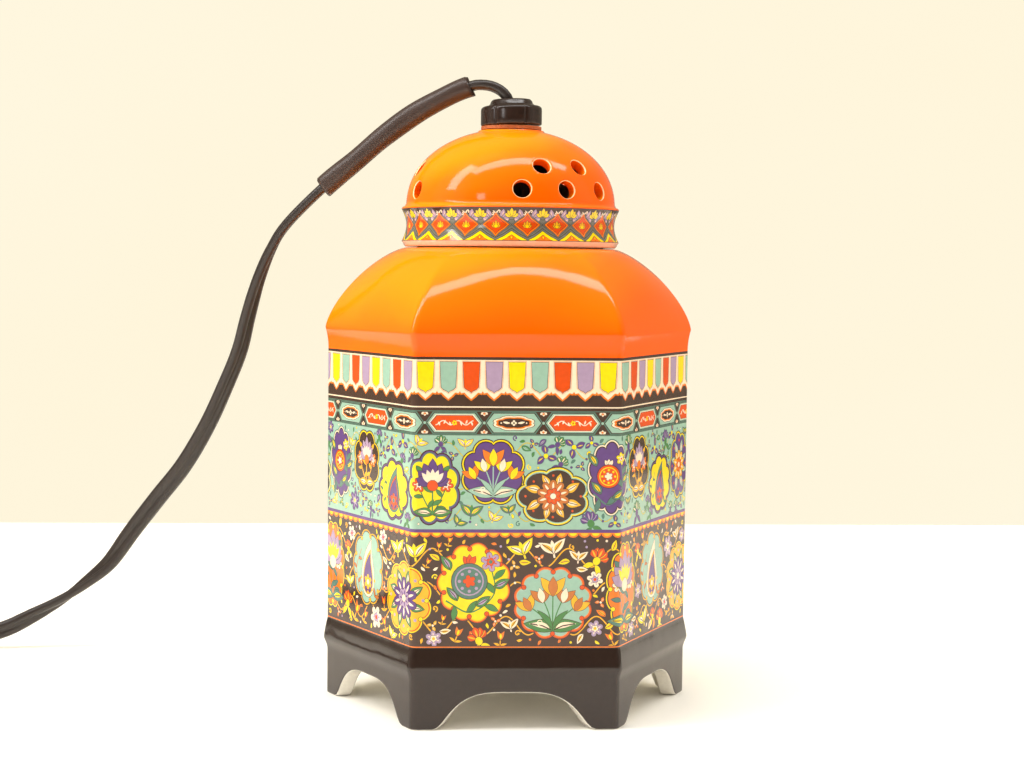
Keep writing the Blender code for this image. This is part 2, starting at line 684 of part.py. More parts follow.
def cap_nut():
    shoulder_z = NUT_TOP_Z - NUT_SHOULDER_DROP
    boss_z = NUT_TOP_Z - NUT_BOSS_HEIGHT
    dome = []
    for out, up in power_arc(NUT_RADIUS - NUT_BOSS_RADIUS, boss_z - shoulder_z, ROUND_POWER, NUT_DOME_STEPS):
        dome.append((NUT_BOSS_RADIUS + out, shoulder_z + up))
    profile = [(CORD_HOLE_RADIUS, NUT_TOP_Z), (NUT_BOSS_RADIUS - NUT_EDGE, NUT_TOP_Z)]
    profile += list(reversed(dome))
    profile += [(NUT_RADIUS, NUT_BOTTOM_Z + NUT_EDGE), (NUT_RADIUS - NUT_EDGE, NUT_BOTTOM_Z),
                (THREAD_BORE_RADIUS, NUT_BOTTOM_Z), (THREAD_BORE_RADIUS, NUT_BORE_TOP_Z),
                (CORD_HOLE_RADIUS, NUT_BORE_TOP_Z)]
    nut = turned("cap_nut", profile, BLACK_PHENOLIC, NUT_STEPS)
    bm = bmesh.new()
    centre = NUT_RADIUS + NUT_FLUTE_RADIUS - NUT_FLUTE_DEPTH
    middle = (NUT_BOTTOM_Z + NUT_TOP_Z) / 2
    for number in range(NUT_FLUTES):
        angle = 2 * math.pi * (number + 0.5) / NUT_FLUTES
        place = Matrix.Translation((centre * math.cos(angle), centre * math.sin(angle), middle))
        drill(bm, NUT_FLUTE_RADIUS, NUT_HEIGHT + CUT_OVERRUN, FLUTE_STEPS, place)
    return cut(nut, mesh_object("nut_flutes", bm, CUTTERS))


def ring(name, outer_radius, bore_radius, top_z, thickness, finish, steps=STEPS_SMALL):
    profile = [(bore_radius, top_z), (outer_radius, top_z), (outer_radius, top_z - thickness),
               (bore_radius, top_z - thickness)]
    return turned(name, profile, finish, steps)


def lid_hardware():
    cap_nut()
    ring("fibre_washer", WASHER_RADIUS, THREAD_BORE_RADIUS, WASHER_TOP_Z, WASHER_THICKNESS, BROWN_FIBRE)
    nipple_length = NIPPLE_TOP_Z - NIPPLE_BOTTOM_Z
    ring("threaded_nipple", NIPPLE_RADIUS, NIPPLE_BORE_RADIUS, NIPPLE_TOP_Z, nipple_length, BRASS)
    ring("inner_washer", INNER_WASHER_RADIUS, THREAD_BORE_RADIUS, INNER_WASHER_TOP_Z,
         INNER_WASHER_THICKNESS, STEEL)
    outlines = [circle(LOCK_NUT_CORNER_RADIUS, 6), circle(THREAD_BORE_RADIUS, STEPS_SMALL)]
    nut = flat_shape("lock_nut", outlines, LOCK_NUT_THICKNESS, STEEL)
    nut.location.z = LOCK_NUT_TOP_Z - LOCK_NUT_THICKNESS / 2


def lampholder():
    dome = []
    dome_width = HOLDER_CAP_RADIUS - HOLDER_HUB_RADIUS
    for out, up in power_arc(dome_width, HOLDER_DOME_DROP, ROUND_POWER, HOLDER_DOME_STEPS):
        dome.append((HOLDER_HUB_RADIUS + out, HOLDER_TOP_Z - HOLDER_DOME_DROP + up))
    hollow = []
    hollow_rise = HUB_BOTTOM_Z - HOLDER_TOP_Z + HOLDER_DOME_DROP
    for out, up in power_arc(HOLDER_CAP_BORE - HOLDER_HUB_RADIUS, hollow_rise, ROUND_POWER, HOLLOW_STEPS):
        hollow.append((HOLDER_HUB_RADIUS + out, HOLDER_TOP_Z - HOLDER_DOME_DROP + up))
    profile = [(THREAD_BORE_RADIUS, HOLDER_TOP_Z)] + list(reversed(dome))
    profile += [(HOLDER_CAP_RADIUS, HOLDER_BOTTOM_Z), (HOLDER_CAP_BORE, HOLDER_BOTTOM_Z)]
    profile += hollow + [(THREAD_BORE_RADIUS, HUB_BOTTOM_Z)]
    turned("holder_cap", profile, BLACK_PHENOLIC)
    skirt = [(SKIRT_BORE, SKIRT_TOP_Z), (SKIRT_RADIUS, SKIRT_TOP_Z), (SKIRT_RADIUS, SKIRT_BOTTOM_Z),
             (SKIRT_BORE, SKIRT_BOTTOM_Z), (SKIRT_BORE, LEDGE_TOP_Z - LEDGE_HEIGHT - LEDGE_WIDTH),
             (LEDGE_BORE, LEDGE_TOP_Z - LEDGE_HEIGHT), (LEDGE_BORE, LEDGE_TOP_Z), (SKIRT_BORE, LEDGE_TOP_Z)]
    turned("holder_skirt", skirt, BLACK_PHENOLIC)
    block_radius = SKIRT_BORE - CLEARANCE
    block = [(0.0, BLOCK_TOP_Z), (block_radius, BLOCK_TOP_Z), (block_radius, BLOCK_BOTTOM_Z),
             (0.0, BLOCK_BOTTOM_Z)]
    turned("terminal_block", block, BLACK_PHENOLIC, closed=False)
    shell_radius = SHELL_BORE + SHELL_WALL
    flange = LEDGE_BORE - CLEARANCE
    shell = [(SHELL_BORE, SHELL_TOP_Z), (flange, SHELL_TOP_Z), (flange, SHELL_TOP_Z - SHELL_FLANGE_THICKNESS),
             (shell_radius, SHELL_TOP_Z - SHELL_FLANGE_THICKNESS), (shell_radius, SHELL_TOP_Z - SHELL_LENGTH),
             (SHELL_BORE, SHELL_TOP_Z - SHELL_LENGTH)]
    turned("socket_screw_shell", shell, BRASS)
    centre_contact()
    for side, name in ((1, "live"), (-1, "neutral")):
        terminal(side, name)


def centre_contact():
    """A sprung strip whose ends lie under the terminal block and whose middle bows down."""
    upper = [(CONTACT_HALF_LENGTH * out, -CONTACT_DROP * down) for out, down in CONTACT_SHARES]
    upper += [(-x, y) for x, y in reversed(upper)]
    lower = [(x, y - CONTACT_THICKNESS) for x, y in reversed(upper)]
    strip = flat_shape("centre_contact", [upper + lower], CONTACT_WIDTH, BRASS)
    strip.rotation_euler.x = math.pi / 2
    strip.location.z = BLOCK_BOTTOM_Z - CLEARANCE


def terminal(side, name):
    head_top = BLOCK_TOP_Z + CLEARANCE + TERMINAL_HEAD_HEIGHT
    profile = [(0.0, head_top), (TERMINAL_HEAD_RADIUS, head_top),
               (TERMINAL_HEAD_RADIUS, head_top - TERMINAL_HEAD_HEIGHT),
               (0.0, head_top - TERMINAL_HEAD_HEIGHT)]
    screw = turned("terminal_screw_" + name, profile, BRASS, SCREW_STEPS, closed=False)
    screw.location.y = side * TERMINAL_OFFSET
    near = FLEX_FLAT_HALF
    far = TERMINAL_OFFSET - TERMINAL_HEAD_RADIUS - CLEARANCE
    low = BLOCK_TOP_Z + CLEARANCE + WIRE_RADIUS
    high = FLEX_INNER_BOTTOM_Z - CLEARANCE
    points = [(0.0, side * (near + (far - near) * out), low + (high - low) * up) for out, up in WIRE_SHARES]
    tube("wire_" + name, points, WIRE_RADIUS, 1, COPPER)


def bulb():
    ring("bulb_base", BULB_BASE_RADIUS, BULB_BASE_BORE, BULB_BASE_TOP_Z, BULB_BASE_LENGTH, ALUMINIUM)
    seat_radius = BULB_BASE_BORE - CLEARANCE
    cone_radius = TIP_RADIUS + INSULATOR_CONE
    turned("bulb_insulator", [(0.0, INSULATOR_TOP_Z), (cone_radius, INSULATOR_TOP_Z),
                              (seat_radius, BULB_BASE_TOP_Z), (seat_radius, BULB_BASE_TOP_Z - INSULATOR_SINK),
                              (0.0, BULB_BASE_TOP_Z - INSULATOR_SINK)], BLACK_PHENOLIC, closed=False)
    turned("bulb_tip_contact", [(0.0, TIP_TOP_Z), (TIP_RADIUS / 2, TIP_TOP_Z),
                                (TIP_RADIUS, TIP_TOP_Z - TIP_HEIGHT), (0.0, TIP_TOP_Z - TIP_HEIGHT)],
           BRASS, STEM_STEPS, closed=False)
    glass()
    bulb_mount()


def offset_inward(points, distance):
    """A profile that runs downwards, moved towards the axis along its own normals."""
    moved = []
    for number, point in enumerate(points):
        before = Vector(points[max(0, number - 1)])
        after = Vector(points[min(len(points) - 1, number + 1)])
        along = (after - before).normalized()
        inward = Vector((along.y, -along.x))
        place = Vector(point) + inward * distance
        moved.append((max(0.0, place.x), place.y))
    return moved


def glass():
    drop = BULB_BASE_BOTTOM_Z - GLASS_BOTTOM_Z
    side = [(GLASS_RADIUS_AT_NECK, GLASS_TOP_Z), (GLASS_RADIUS_AT_NECK, BULB_BASE_BOTTOM_Z)]
    side += [(BULB_RADIUS * out, BULB_BASE_BOTTOM_Z - drop * down) for out, down in GLASS_SHARES]
    inner = offset_inward(side, GLASS_WALL)
    profile = side + [(0.0, GLASS_BOTTOM_Z)]
    inner.append((0.0, GLASS_BOTTOM_Z + GLASS_WALL))
    turned("bulb_glass", list(reversed(inner)) + profile, GLASS, GLASS_STEPS, closed=False)


def bulb_mount():
    """The glass stem with its two leads and the filament between them."""
    flare = GLASS_RADIUS_AT_NECK - GLASS_WALL - CLEARANCE
    stem = [(0.0, GLASS_TOP_Z), (flare, GLASS_TOP_Z), (STEM_RADIUS, GLASS_TOP_Z - STEM_FLARE_HEIGHT),
            (STEM_RADIUS, STEM_BOTTOM_Z), (0.0, STEM_BOTTOM_Z)]
    turned("bulb_stem", stem, GLASS, STEM_STEPS, closed=False)
    top = STEM_BOTTOM_Z - CLEARANCE
    low = top - LEAD_DROP
    for side, name in ((1, "a"), (-1, "b")):
        near = side * LEAD_SPACING / 2
        far = side * LEAD_SPREAD / 2
        bend = LEAD_DROP / 5
        points = [(near, 0.0, top), (near, 0.0, top - bend), (far, 0.0, low + bend), (far, 0.0, low)]
        tube("bulb_lead_" + name, points, LEAD_RADIUS, 1, STEEL)
    half = LEAD_SPREAD / 2
    level = low - CLEARANCE - FILAMENT_RADIUS
    points = []
    for step in range(FILAMENT_STEPS + 1):
        share = 2 * step / FILAMENT_STEPS - 1
        points.append((half * share, 0.0, level - FILAMENT_SAG * (1 - share * share)))
    tube("bulb_filament", points, FILAMENT_RADIUS, 1, TUNGSTEN)


def smooth_line(route):
    """Points along a smooth curve through the route's points, closer together at the first bend."""
    points = [Vector(p) for p in route]
    padded = [2 * points[0] - points[1]] + points + [2 * points[-1] - points[-2]]
    fine = [points[0]]
    for n in range(1, len(padded) - 2):
        a, b, c, d = padded[n - 1:n + 3]
        for part in range(1, SPLINE_STEPS + 1):
            t = part / SPLINE_STEPS
            fine.append(0.5 * (2 * b + (c - a) * t + (2 * a - 5 * b + 4 * c - d) * t ** 2
                               + (3 * b - a - 3 * c + d) * t ** 3))
    lengths = [0.0]
    for first, second in zip(fine, fine[1:]):
        lengths.append(lengths[-1] + (second - first).length)
    bend_count = round(FLEX_BEND_LENGTH / FLEX_BEND_STEP)
    rest = lengths[-1] - FLEX_BEND_LENGTH
    rest_count = round(rest / FLEX_POINT_STEP)
    marks = [FLEX_BEND_LENGTH * n / bend_count for n in range(bend_count)]
    marks += [FLEX_BEND_LENGTH + rest * n / rest_count for n in range(rest_count + 1)]
    line = []
    index = 0
    for mark in marks:
        while index < len(lengths) - 2 and lengths[index + 1] < mark:
            index += 1
        span = lengths[index + 1] - lengths[index]
        line.append(fine[index].lerp(fine[index + 1], (mark - lengths[index]) / span))
    return line


def between(table, share):
    for (low, first), (high, second) in zip(table, table[1:]):
        if share <= high:
            return first + (second - first) * (share - low) / (high - low)
    return table[-1][1]


def coil_direction(angle):
    return Vector((-math.sin(angle), math.cos(angle), 0.0))


def coil_points():
    """Flat flex wound on edge: in along the lower layer, up a layer, and out again above."""
    centre = Vector((COIL_CENTRE_X, COIL_CENTRE_Y, 0.0))
    start = math.radians(COIL_START_DEGREES)
    count = round(COIL_TURNS * COIL_POINTS_PER_TURN)
    points = []
    for n in range(count + 1):
        turns = COIL_TURNS * n / count
        from_middle = turns - COIL_TURNS / 2
        climb = min(1.0, max(0.0, from_middle / COIL_CLIMB_TURNS + 0.5))
        radius = COIL_INNER_RADIUS + COIL_PITCH * abs(from_middle)
        angle = start + 2 * math.pi * turns
        height = COIL_LOW_Z + COIL_LAYER_STEP * smooth_step(climb)
        points.append(centre + Vector((radius * math.cos(angle), radius * math.sin(angle), height)))
    first = points[0] - coil_direction(start) * FLEX_WIDTH
    last = points[-1] + coil_direction(start + 2 * math.pi * COIL_TURNS) * FLEX_WIDTH
    return [first] + points + [last]


def report_least_gap(points):
    """Print the least space between two turns of the coil, from its points."""
    least = math.inf
    for n, first in enumerate(points):
        for second in points[n + COIL_POINTS_PER_TURN // 3:]:
            apart = second - first
            beside = math.hypot(apart.x, apart.y)
            above = max(0.0, abs(apart.z) - 2 * FLEX_FLAT_HALF)
            least = min(least, math.hypot(beside, above) - FLEX_THICKNESS)
    print("least gap in the coil: %.2f mm" % (least / MM))


def flex():
    stadium = []
    for side in (1, -1):
        for step in range(5):
            angle = math.pi / 2 * (step / 2 - 1) + (0.0 if side > 0 else math.pi)
            stadium.append((-FLEX_HALF_THICKNESS * math.sin(angle),
                            side * FLEX_FLAT_HALF + FLEX_HALF_THICKNESS * math.cos(angle)))
    length = NUT_TOP_Z - FLEX_INNER_BOTTOM_Z
    inner = flat_shape("flex_inner", [stadium], length, BLACK_PVC)
    inner.location.z = (NUT_TOP_Z + FLEX_INNER_BOTTOM_Z) / 2
    coil = coil_points()
    report_least_gap(coil)
    tube("flex_coil", coil, FLEX_HALF_THICKNESS, 1, BLACK_PVC, FLEX_FLAT_HALF).data.twist_mode = "Z_UP"
    start_direction = coil_direction(math.radians(COIL_START_DEGREES))
    meeting = coil[0] - start_direction * CLEARANCE
    route = list(FLEX_ROUTE) + [meeting - start_direction * FLEX_WIDTH * 2, meeting]
    line = smooth_line(route)
    tilts = [math.radians(FLEX_FIRST_DEGREES + between(FLEX_TWISTS, n / (len(line) - 1)))
             for n in range(len(line))]
    free = tube("flex_free", line, FLEX_HALF_THICKNESS, 2, BLACK_PVC, FLEX_FLAT_HALF, tilts)
    free.data.twist_mode = "MINIMUM"
    sleeve(line)
    return coil


def stretch_of(line, start, length):
    """The part of a line between two distances along it."""
    walked = 0.0
    points = []
    for first, second in zip(line, line[1:]):
        span = (second - first).length
        for mark in (start, start + length):
            if walked <= mark < walked + span:
                points.append(first.lerp(second, (mark - walked) / span))
        walked += span
        if start < walked < start + length:
            points.append(second)
    return points


def sleeve(line):
    points = stretch_of(line, SLEEVE_START, SLEEVE_LENGTH)
    outer = realise(tube("flex_sleeve", points, SLEEVE_RADIUS, 4, BLACK_PVC))
    first_end = points[0] + (points[0] - points[1]).normalized() * CUT_OVERRUN
    last_end = points[-1] + (points[-1] - points[-2]).normalized() * CUT_OVERRUN
    bore = realise(tube("sleeve_bore", [first_end] + points + [last_end], SLEEVE_BORE_RADIUS, 4, None,
                        collection=CUTTERS))
    cut(outer, bore)


def coil_tie():
    """A flat band round all the turns at one side of the coil."""
    angle = math.radians(TIE_DEGREES)
    outward = Vector((math.cos(angle), math.sin(angle), 0.0))
    inside = COIL_INNER_RADIUS - COIL_PITCH / 2 - FLEX_HALF_THICKNESS - CLEARANCE
    outside = COIL_OUTER_RADIUS + FLEX_HALF_THICKNESS + CLEARANCE
    low = TIE_THICKNESS
    high = COIL_HIGH_Z + FLEX_WIDTH / 2 + CLEARANCE
    hole = [(inside, low), (outside, low), (outside, high), (inside, high)]
    grow = TIE_THICKNESS
    band = [(inside - grow, low - grow), (outside + grow, low - grow), (outside + grow, high + grow),
            (inside - grow, high + grow)]
    tie = flat_shape("coil_tie", [band, hole], TIE_WIDTH, BLACK_PVC)
    up = Vector((0.0, 0.0, 1.0))
    turn = Matrix((outward, up, outward.cross(up))).transposed().to_4x4()
    tie.matrix_world = Matrix.Translation((COIL_CENTRE_X, COIL_CENTRE_Y, 0.0)) @ turn


def plug(coil):
    middle_z = PLUG_THICKNESS / 2
    tail_start = coil[-1]
    along = coil_direction(math.radians(COIL_START_DEGREES) + 2 * math.pi * COIL_TURNS)
    begin = tail_start + along * CLEARANCE
    end = Vector((begin.x, begin.y, middle_z)) + along * TAIL_LENGTH
    middle = begin.lerp(end, 0.5)
    points = [begin, begin + along * FLEX_THICKNESS, middle, end - along * FLEX_THICKNESS, end]
    tail = tube("flex_tail", points, FLEX_HALF_THICKNESS, 1, BLACK_PVC, FLEX_FLAT_HALF)
    tail.data.twist_mode = "Z_UP"
    neck = end + along * CLEARANCE
    outline = [(PLUG_WIDTH / 2 * wide, PLUG_LENGTH * (1 - share)) for share, wide in PLUG_SHARES]
    outline.append((PLUG_NECK_WIDTH / 2, 0.0))
    outline += [(-x, y) for x, y in reversed(outline)]
    body = flat_shape("plug_body", [outline], PLUG_THICKNESS, BLACK_PVC)
    turn = Matrix.Rotation(math.atan2(along.y, along.x) - math.pi / 2, 4, "Z")
    body.matrix_world = Matrix.Translation((neck.x, neck.y, middle_z)) @ turn
    bpy.context.view_layer.update()
    body = realise(body)
    rounding = body.modifiers.new("rounding", "BEVEL")
    rounding.width = PLUG_EDGE
    rounding.segments = 2
    rounding.limit_method = "ANGLE"
    rounding.angle_limit = math.radians(60)
    face = neck + along * (PLUG_LENGTH + CLEARANCE)
    across = Vector((-along.y, along.x, 0.0))
    for side, name in ((1, "live"), (-1, "neutral")):
        shoulder = BLADE_LENGTH * BLADE_TIP_SHARE
        half = BLADE_WIDTH / 2
        tip = BLADE_WIDTH / 3
        blade_outline = [(0.0, -half), (shoulder, -half), (BLADE_LENGTH, -tip), (BLADE_LENGTH, tip),
                         (shoulder, half), (0.0, half)]
        blade = flat_shape("plug_blade_" + name, [blade_outline], BLADE_THICKNESS, BRASS)
        up = Vector((0.0, 0.0, 1.0))
        place = Vector((face.x, face.y, middle_z)) + across * side * BLADE_SPACING / 2
        turn = Matrix((along, up, along.cross(up))).transposed().to_4x4()
        blade.matrix_world = Matrix.Translation(place) @ turn


jar()
lid()
lid_hardware()
lampholder()
bulb()
plug(flex())
coil_tie()
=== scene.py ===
import json
import math
import random

import bmesh
import bpy
import numpy as np
from mathutils import Matrix, Vector
from mathutils.geometry import delaunay_2d_cdt


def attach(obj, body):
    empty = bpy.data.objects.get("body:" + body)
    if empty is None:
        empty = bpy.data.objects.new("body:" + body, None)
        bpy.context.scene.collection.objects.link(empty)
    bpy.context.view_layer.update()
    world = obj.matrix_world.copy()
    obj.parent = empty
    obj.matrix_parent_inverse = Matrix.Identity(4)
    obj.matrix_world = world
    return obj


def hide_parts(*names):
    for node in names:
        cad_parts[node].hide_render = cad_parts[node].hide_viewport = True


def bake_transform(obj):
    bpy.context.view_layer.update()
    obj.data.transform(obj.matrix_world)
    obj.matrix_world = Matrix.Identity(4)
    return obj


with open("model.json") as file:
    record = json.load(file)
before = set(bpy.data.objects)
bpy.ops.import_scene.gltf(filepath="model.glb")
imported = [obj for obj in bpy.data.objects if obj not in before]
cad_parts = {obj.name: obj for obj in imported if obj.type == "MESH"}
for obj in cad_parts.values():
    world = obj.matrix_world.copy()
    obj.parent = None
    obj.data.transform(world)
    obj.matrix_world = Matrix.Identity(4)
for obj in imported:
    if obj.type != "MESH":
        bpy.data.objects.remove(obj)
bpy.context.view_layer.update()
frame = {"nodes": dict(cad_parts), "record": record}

# The looks of the porcelain fragrance lamp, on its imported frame.
# Shapes are worked out in millimetres and written to the meshes in metres.
# Plan and artwork points are complex numbers: x + y i in plan, along + up i on the unrolled walls.

MM = 0.001

# Jar, as in the frame
HALF_WIDTH = 54.3
HALF_DEPTH = 47.0
FRONT_HALF = 28.7
CORNER_RADIUS = 2.4
APRON_Z = 13.0
BULGE_Z = 17.3
BULGE_TOP_Z = 23.0
BULGE_OUT = 0.95
ARCH_RISE = 10.5
FOOT_WIDTH = 6.4
ARCH_SHARES = [(1.0, 0.0), (0.925, 0.14), (0.81, 0.45), (0.69, 0.7), (0.545, 0.875), (0.38, 0.97), (0.2, 1.0),
               (0.0, 1.0)]
APRON_WALL = 4.2
EDGE_ROUND = 0.6
RECESS_Z = 12.0
BAND_LOW = 23.3
BAND_HIGH = 104.0
CREASE_Z = 110.3
CREASE_OUT = 0.78
SEAT_Z = 134.2
SHOULDER_RADIUS = 30.9
SHOULDER_POWER = 1.42
COLLAR_RADIUS = 27.5
COLLAR_TOP_Z = 141.0
BORE_RADIUS = 24.2
WALL = 3.2
FLOOR_Z = 15.5

# Lid, as in the frame
LID_RIM_Z = 134.5
LID_RIM_RADIUS = 31.8
LID_BAND_RADIUS = 32.4
LID_BAND_LOW = 136.1
LID_BAND_HIGH = 145.6
LID_WAIST = 1.4
DOME_Z = 146.6
DOME_RADIUS = 31.1
DOME_RISE = 23.0
DOME_POWER = 2.08
LID_TOP_Z = 169.0
LID_FLAT_RADIUS = 9.7
LID_HOLE_RADIUS = 5.3
LID_BORE = 28.3
LID_WALL = 3.2
VENT_RADIUS = 2.55
VENT_ROWS = [(150.9, (-25.5, 0.0, 25.5)), (157.6, (-13.0, 13.0))]
VENT_FIRST = 28.5
VENT_FLARE = 0.5
VENT_LIP = 1.85
LID_SEGMENTS = 192

# Cap nut
NUT_RADIUS = 9.1
NUT_LOW = 170.6
NUT_HIGH = 178.4
NUT_HOLE = 3.1
NUT_TILT = 0.026
NUT_SEGMENTS = 200
NUT_GRIPS = 6
NUT_GRIP_DEPTH = 0.3

# Flex, sleeve and coil, as in the frame
FLEX_WIDTH = 5.1
FLEX_THICKNESS = 2.6
FLEX_WEB = 1.3
FLEX_ROUTE = [
    (-0.7, 0.0, 177.6), (-1.5, 0.1, 179.3), (-3.1, 0.3, 180.9), (-5.6, 0.8, 182.2),
    (-8.6, 1.3, 182.7), (-11.8, 2.1, 182.4), (-18.0, 3.0, 180.0), (-28.7, 4.6, 174.1),
    (-37.9, 6.1, 167.4), (-46.9, 7.7, 159.7), (-56.7, 9.7, 151.5), (-67.2, 13.3, 141.1),
    (-72.2, 16.1, 133.5), (-76.4, 19.3, 123.6), (-79.9, 23.5, 112.3), (-82.9, 27.7, 101.5),
    (-87.9, 33.0, 89.9), (-94.1, 38.4, 77.1), (-102.1, 43.8, 63.9), (-111.4, 49.4, 52.2),
    (-120.1, 54.2, 41.0), (-127.9, 58.0, 30.3), (-135.4, 60.6, 23.6), (-144.1, 62.9, 17.1),
    (-153.9, 64.0, 11.4), (-164.6, 64.4, 6.2), (-177.0, 63.6, 3.7), (-190.0, 61.4, 3.45),
]
FLEX_TWISTS = [
    (0.0, 0.0), (0.29, 0.0), (0.35, 28.0), (0.41, 47.0), (0.5, 58.0), (0.56, 76.0),
    (0.61, 92.0), (0.66, 102.0), (0.69, 120.0), (0.72, 148.0), (0.75, 178.0), (0.78, 208.0),
    (0.81, 240.0), (0.85, 262.0), (1.0, 270.0),
]
FLEX_SWELL = 1.12
SLEEVE_RADIUS = 3.25
SLEEVE_BORE = 2.85
SLEEVE_START = 13.9
SLEEVE_LENGTH = 54.0
SLEEVE_SEGMENTS = 36
SLEEVE_RINGS = 55
SLEEVE_SQUEEZE = 0.035
SLEEVE_WAVE = 0.008
COIL_CENTRE = -211.5 + 19.5j
COIL_RADIUS = 36.0
COIL_PITCH = 3.25
COIL_START = 103.6
COIL_END = 180.0
COIL_WHOLE_TURNS = 7
COIL_LOW_Z = 3.45
COIL_HIGH_Z = 9.2
TAIL_LENGTH = 19.0
PLUG_Z = 7.5

# Artwork
PENNANTS = 52
PENNANT_LOW = 89.3
PENNANT_FOOT = 91.3
CARTOUCHES = 20
CARTOUCHE_LOW = 82.4
CARTOUCHE_HIGH = 89.5
CARTOUCHE_MIDDLE = 85.85
CARTOUCHE_START = 11.2
UPPER_FIELDS = 20
UPPER_LOW = 57.0
UPPER_HIGH = 82.2
SCALLOPS = 104
SCALLOP_Z = 55.3
LOWER_FIELDS = 15
LOWER_LOW = 24.2
LOWER_HIGH = 53.9
LID_REPEATS = 22

RNG = random.Random(11)


# Materials

def linear(colour):
    """A colour written as 0 to 255 on the screen, in the shader's linear values."""
    values = []
    for value in colour:
        value = value / 255
        values.append(value / 12.92 if value <= 0.04045 else ((value + 0.055) / 1.055) ** 2.4)
    return (*values, 1.0)


def noise(tree, scale, detail, vector=None):
    cloud = tree.nodes.new("ShaderNodeTexNoise")
    cloud.inputs["Scale"].default_value = scale
    cloud.inputs["Detail"].default_value = detail
    if vector:
        tree.links.new(vector, cloud.inputs["Vector"])
    return cloud


def surface(name, colour, roughness, metallic=0.0, coat=0.0, variation=0.12, grain=260.0, bump=0.0,
            bump_scale=90.0, rough_range=0.04):
    """A shader with uneven colour, roughness and relief, all of them from noise in the piece's own space."""
    made = bpy.data.materials.new(name)
    made.use_nodes = True
    tree = made.node_tree
    shader = tree.nodes["Principled BSDF"]
    shader.inputs["Metallic"].default_value = metallic
    shader.inputs["Coat Weight"].default_value = coat
    shader.inputs["Coat Roughness"].default_value = 0.03
    shader.inputs["IOR"].default_value = 1.5
    place = tree.nodes.new("ShaderNodeTexCoord")
    cloud = noise(tree, grain, 4.0, place.outputs["Object"])
    blend = tree.nodes.new("ShaderNodeMix")
    blend.data_type = "RGBA"
    for socket, level in (("A", 1 - variation), ("B", 1 + variation)):
        blend.inputs[socket].default_value = [min(1.0, value * level) for value in linear(colour)[:3]] + [1.0]
    tree.links.new(cloud.outputs["Fac"], blend.inputs["Factor"])
    tree.links.new(blend.outputs["Result"], shader.inputs["Base Color"])
    spread = tree.nodes.new("ShaderNodeMapRange")
    spread.inputs["To Min"].default_value = max(0.0, roughness - rough_range)
    spread.inputs["To Max"].default_value = roughness + rough_range
    tree.links.new(cloud.outputs["Fac"], spread.inputs["Value"])
    tree.links.new(spread.outputs["Result"], shader.inputs["Roughness"])
    if bump:
        wave = noise(tree, bump_scale, 2.0, place.outputs["Object"])
        relief = tree.nodes.new("ShaderNodeBump")
        relief.inputs["Strength"].default_value = bump
        relief.inputs["Distance"].default_value = 0.001
        tree.links.new(wave.outputs["Fac"], relief.inputs["Height"])
        tree.links.new(relief.outputs["Normal"], shader.inputs["Normal"])
        tree.links.new(relief.outputs["Normal"], shader.inputs["Coat Normal"])
    return made


def glaze(name, colour, variation=0.13, grain=700.0):
    return surface(name, colour, 0.1, variation=variation, grain=grain, bump=0.22, bump_scale=60.0,
                   rough_range=0.03)


def orange_glaze_painted_light(name, shaded_orange, mid, light):
    """The plain orange with painted light and shade: yellower where the surface faces up and to the left,
    towards the key light, and darker on upright walls and on those facing right.
    """
    made = glaze(name, mid)
    tree = made.node_tree
    shader = tree.nodes["Principled BSDF"]
    place = tree.nodes.new("ShaderNodeTexCoord")
    # Painted light: how far the surface faces the upper left, where the key light is, picks the shade of
    # orange.
    facing_light = tree.nodes.new("ShaderNodeVectorMath")
    facing_light.operation = "DOT_PRODUCT"
    facing_light.inputs[1].default_value = (-0.45, 0.1, 0.89)
    tree.links.new(place.outputs["Normal"], facing_light.inputs[0])
    cloud = noise(tree, 28.0, 5.0, place.outputs["Object"])
    uneven = tree.nodes.new("ShaderNodeMath")
    uneven.operation = "MULTIPLY_ADD"
    uneven.inputs[1].default_value = 0.35
    tree.links.new(cloud.outputs["Fac"], uneven.inputs[0])
    tree.links.new(facing_light.outputs["Value"], uneven.inputs[2])
    # The ramp runs from the shaded, darker orange through the mid orange to the lit yellow orange: painted
    # shade and painted light.
    ramp = tree.nodes.new("ShaderNodeValToRGB")
    ramp.color_ramp.interpolation = "EASE"
    stops = ramp.color_ramp.elements
    stops[0].position = 0.12
    stops[0].color = linear(shaded_orange)
    stops[1].position = 1.0
    stops[1].color = linear(light)
    middle = stops.new(0.6)
    middle.color = linear(mid)
    tree.links.new(uneven.outputs["Value"], ramp.inputs["Fac"])
    tree.links.new(ramp.outputs["Color"], shader.inputs["Base Color"])
    shader.inputs["Specular IOR Level"].default_value = 0.32
    return made


ENAMELS = {
    "orange": (255, 112, 8),
    "black": (46, 34, 28),
    "white": (232, 226, 212),
    "inside": (150, 128, 104),
    # Pale orange at the vents' mouths: partly thin glaze over the white body, partly a painted highlight
    # ring.
    "thin": (255, 208, 150),
    "rim": (238, 196, 170),
    "yellow": (250, 214, 8),
    "gold": (243, 176, 30),
    "tangerine": (240, 120, 24),
    "red": (222, 78, 14),
    "mint": (152, 186, 164),
    "teal": (84, 120, 104),
    "green": (74, 128, 66),
    "lavender": (172, 146, 172),
    "purple": (96, 64, 122),
    "cream": (252, 222, 190),
    "tawny": (196, 112, 46),
    "brown": (70, 48, 36),
    "grey": (112, 112, 100),
}
GLAZES = {name: glaze("glaze_" + name, colour) for name, colour in ENAMELS.items()}
# The plain orange carries painted light and shade, set by how each surface faces the upper left.
GLAZES["orange"] = orange_glaze_painted_light("glaze_orange_painted_light", (255, 94, 1), (255, 110, 2), (255, 138, 4))
COLOURS = list(ENAMELS)
FINISHES = list(GLAZES.values())


# Flat artwork

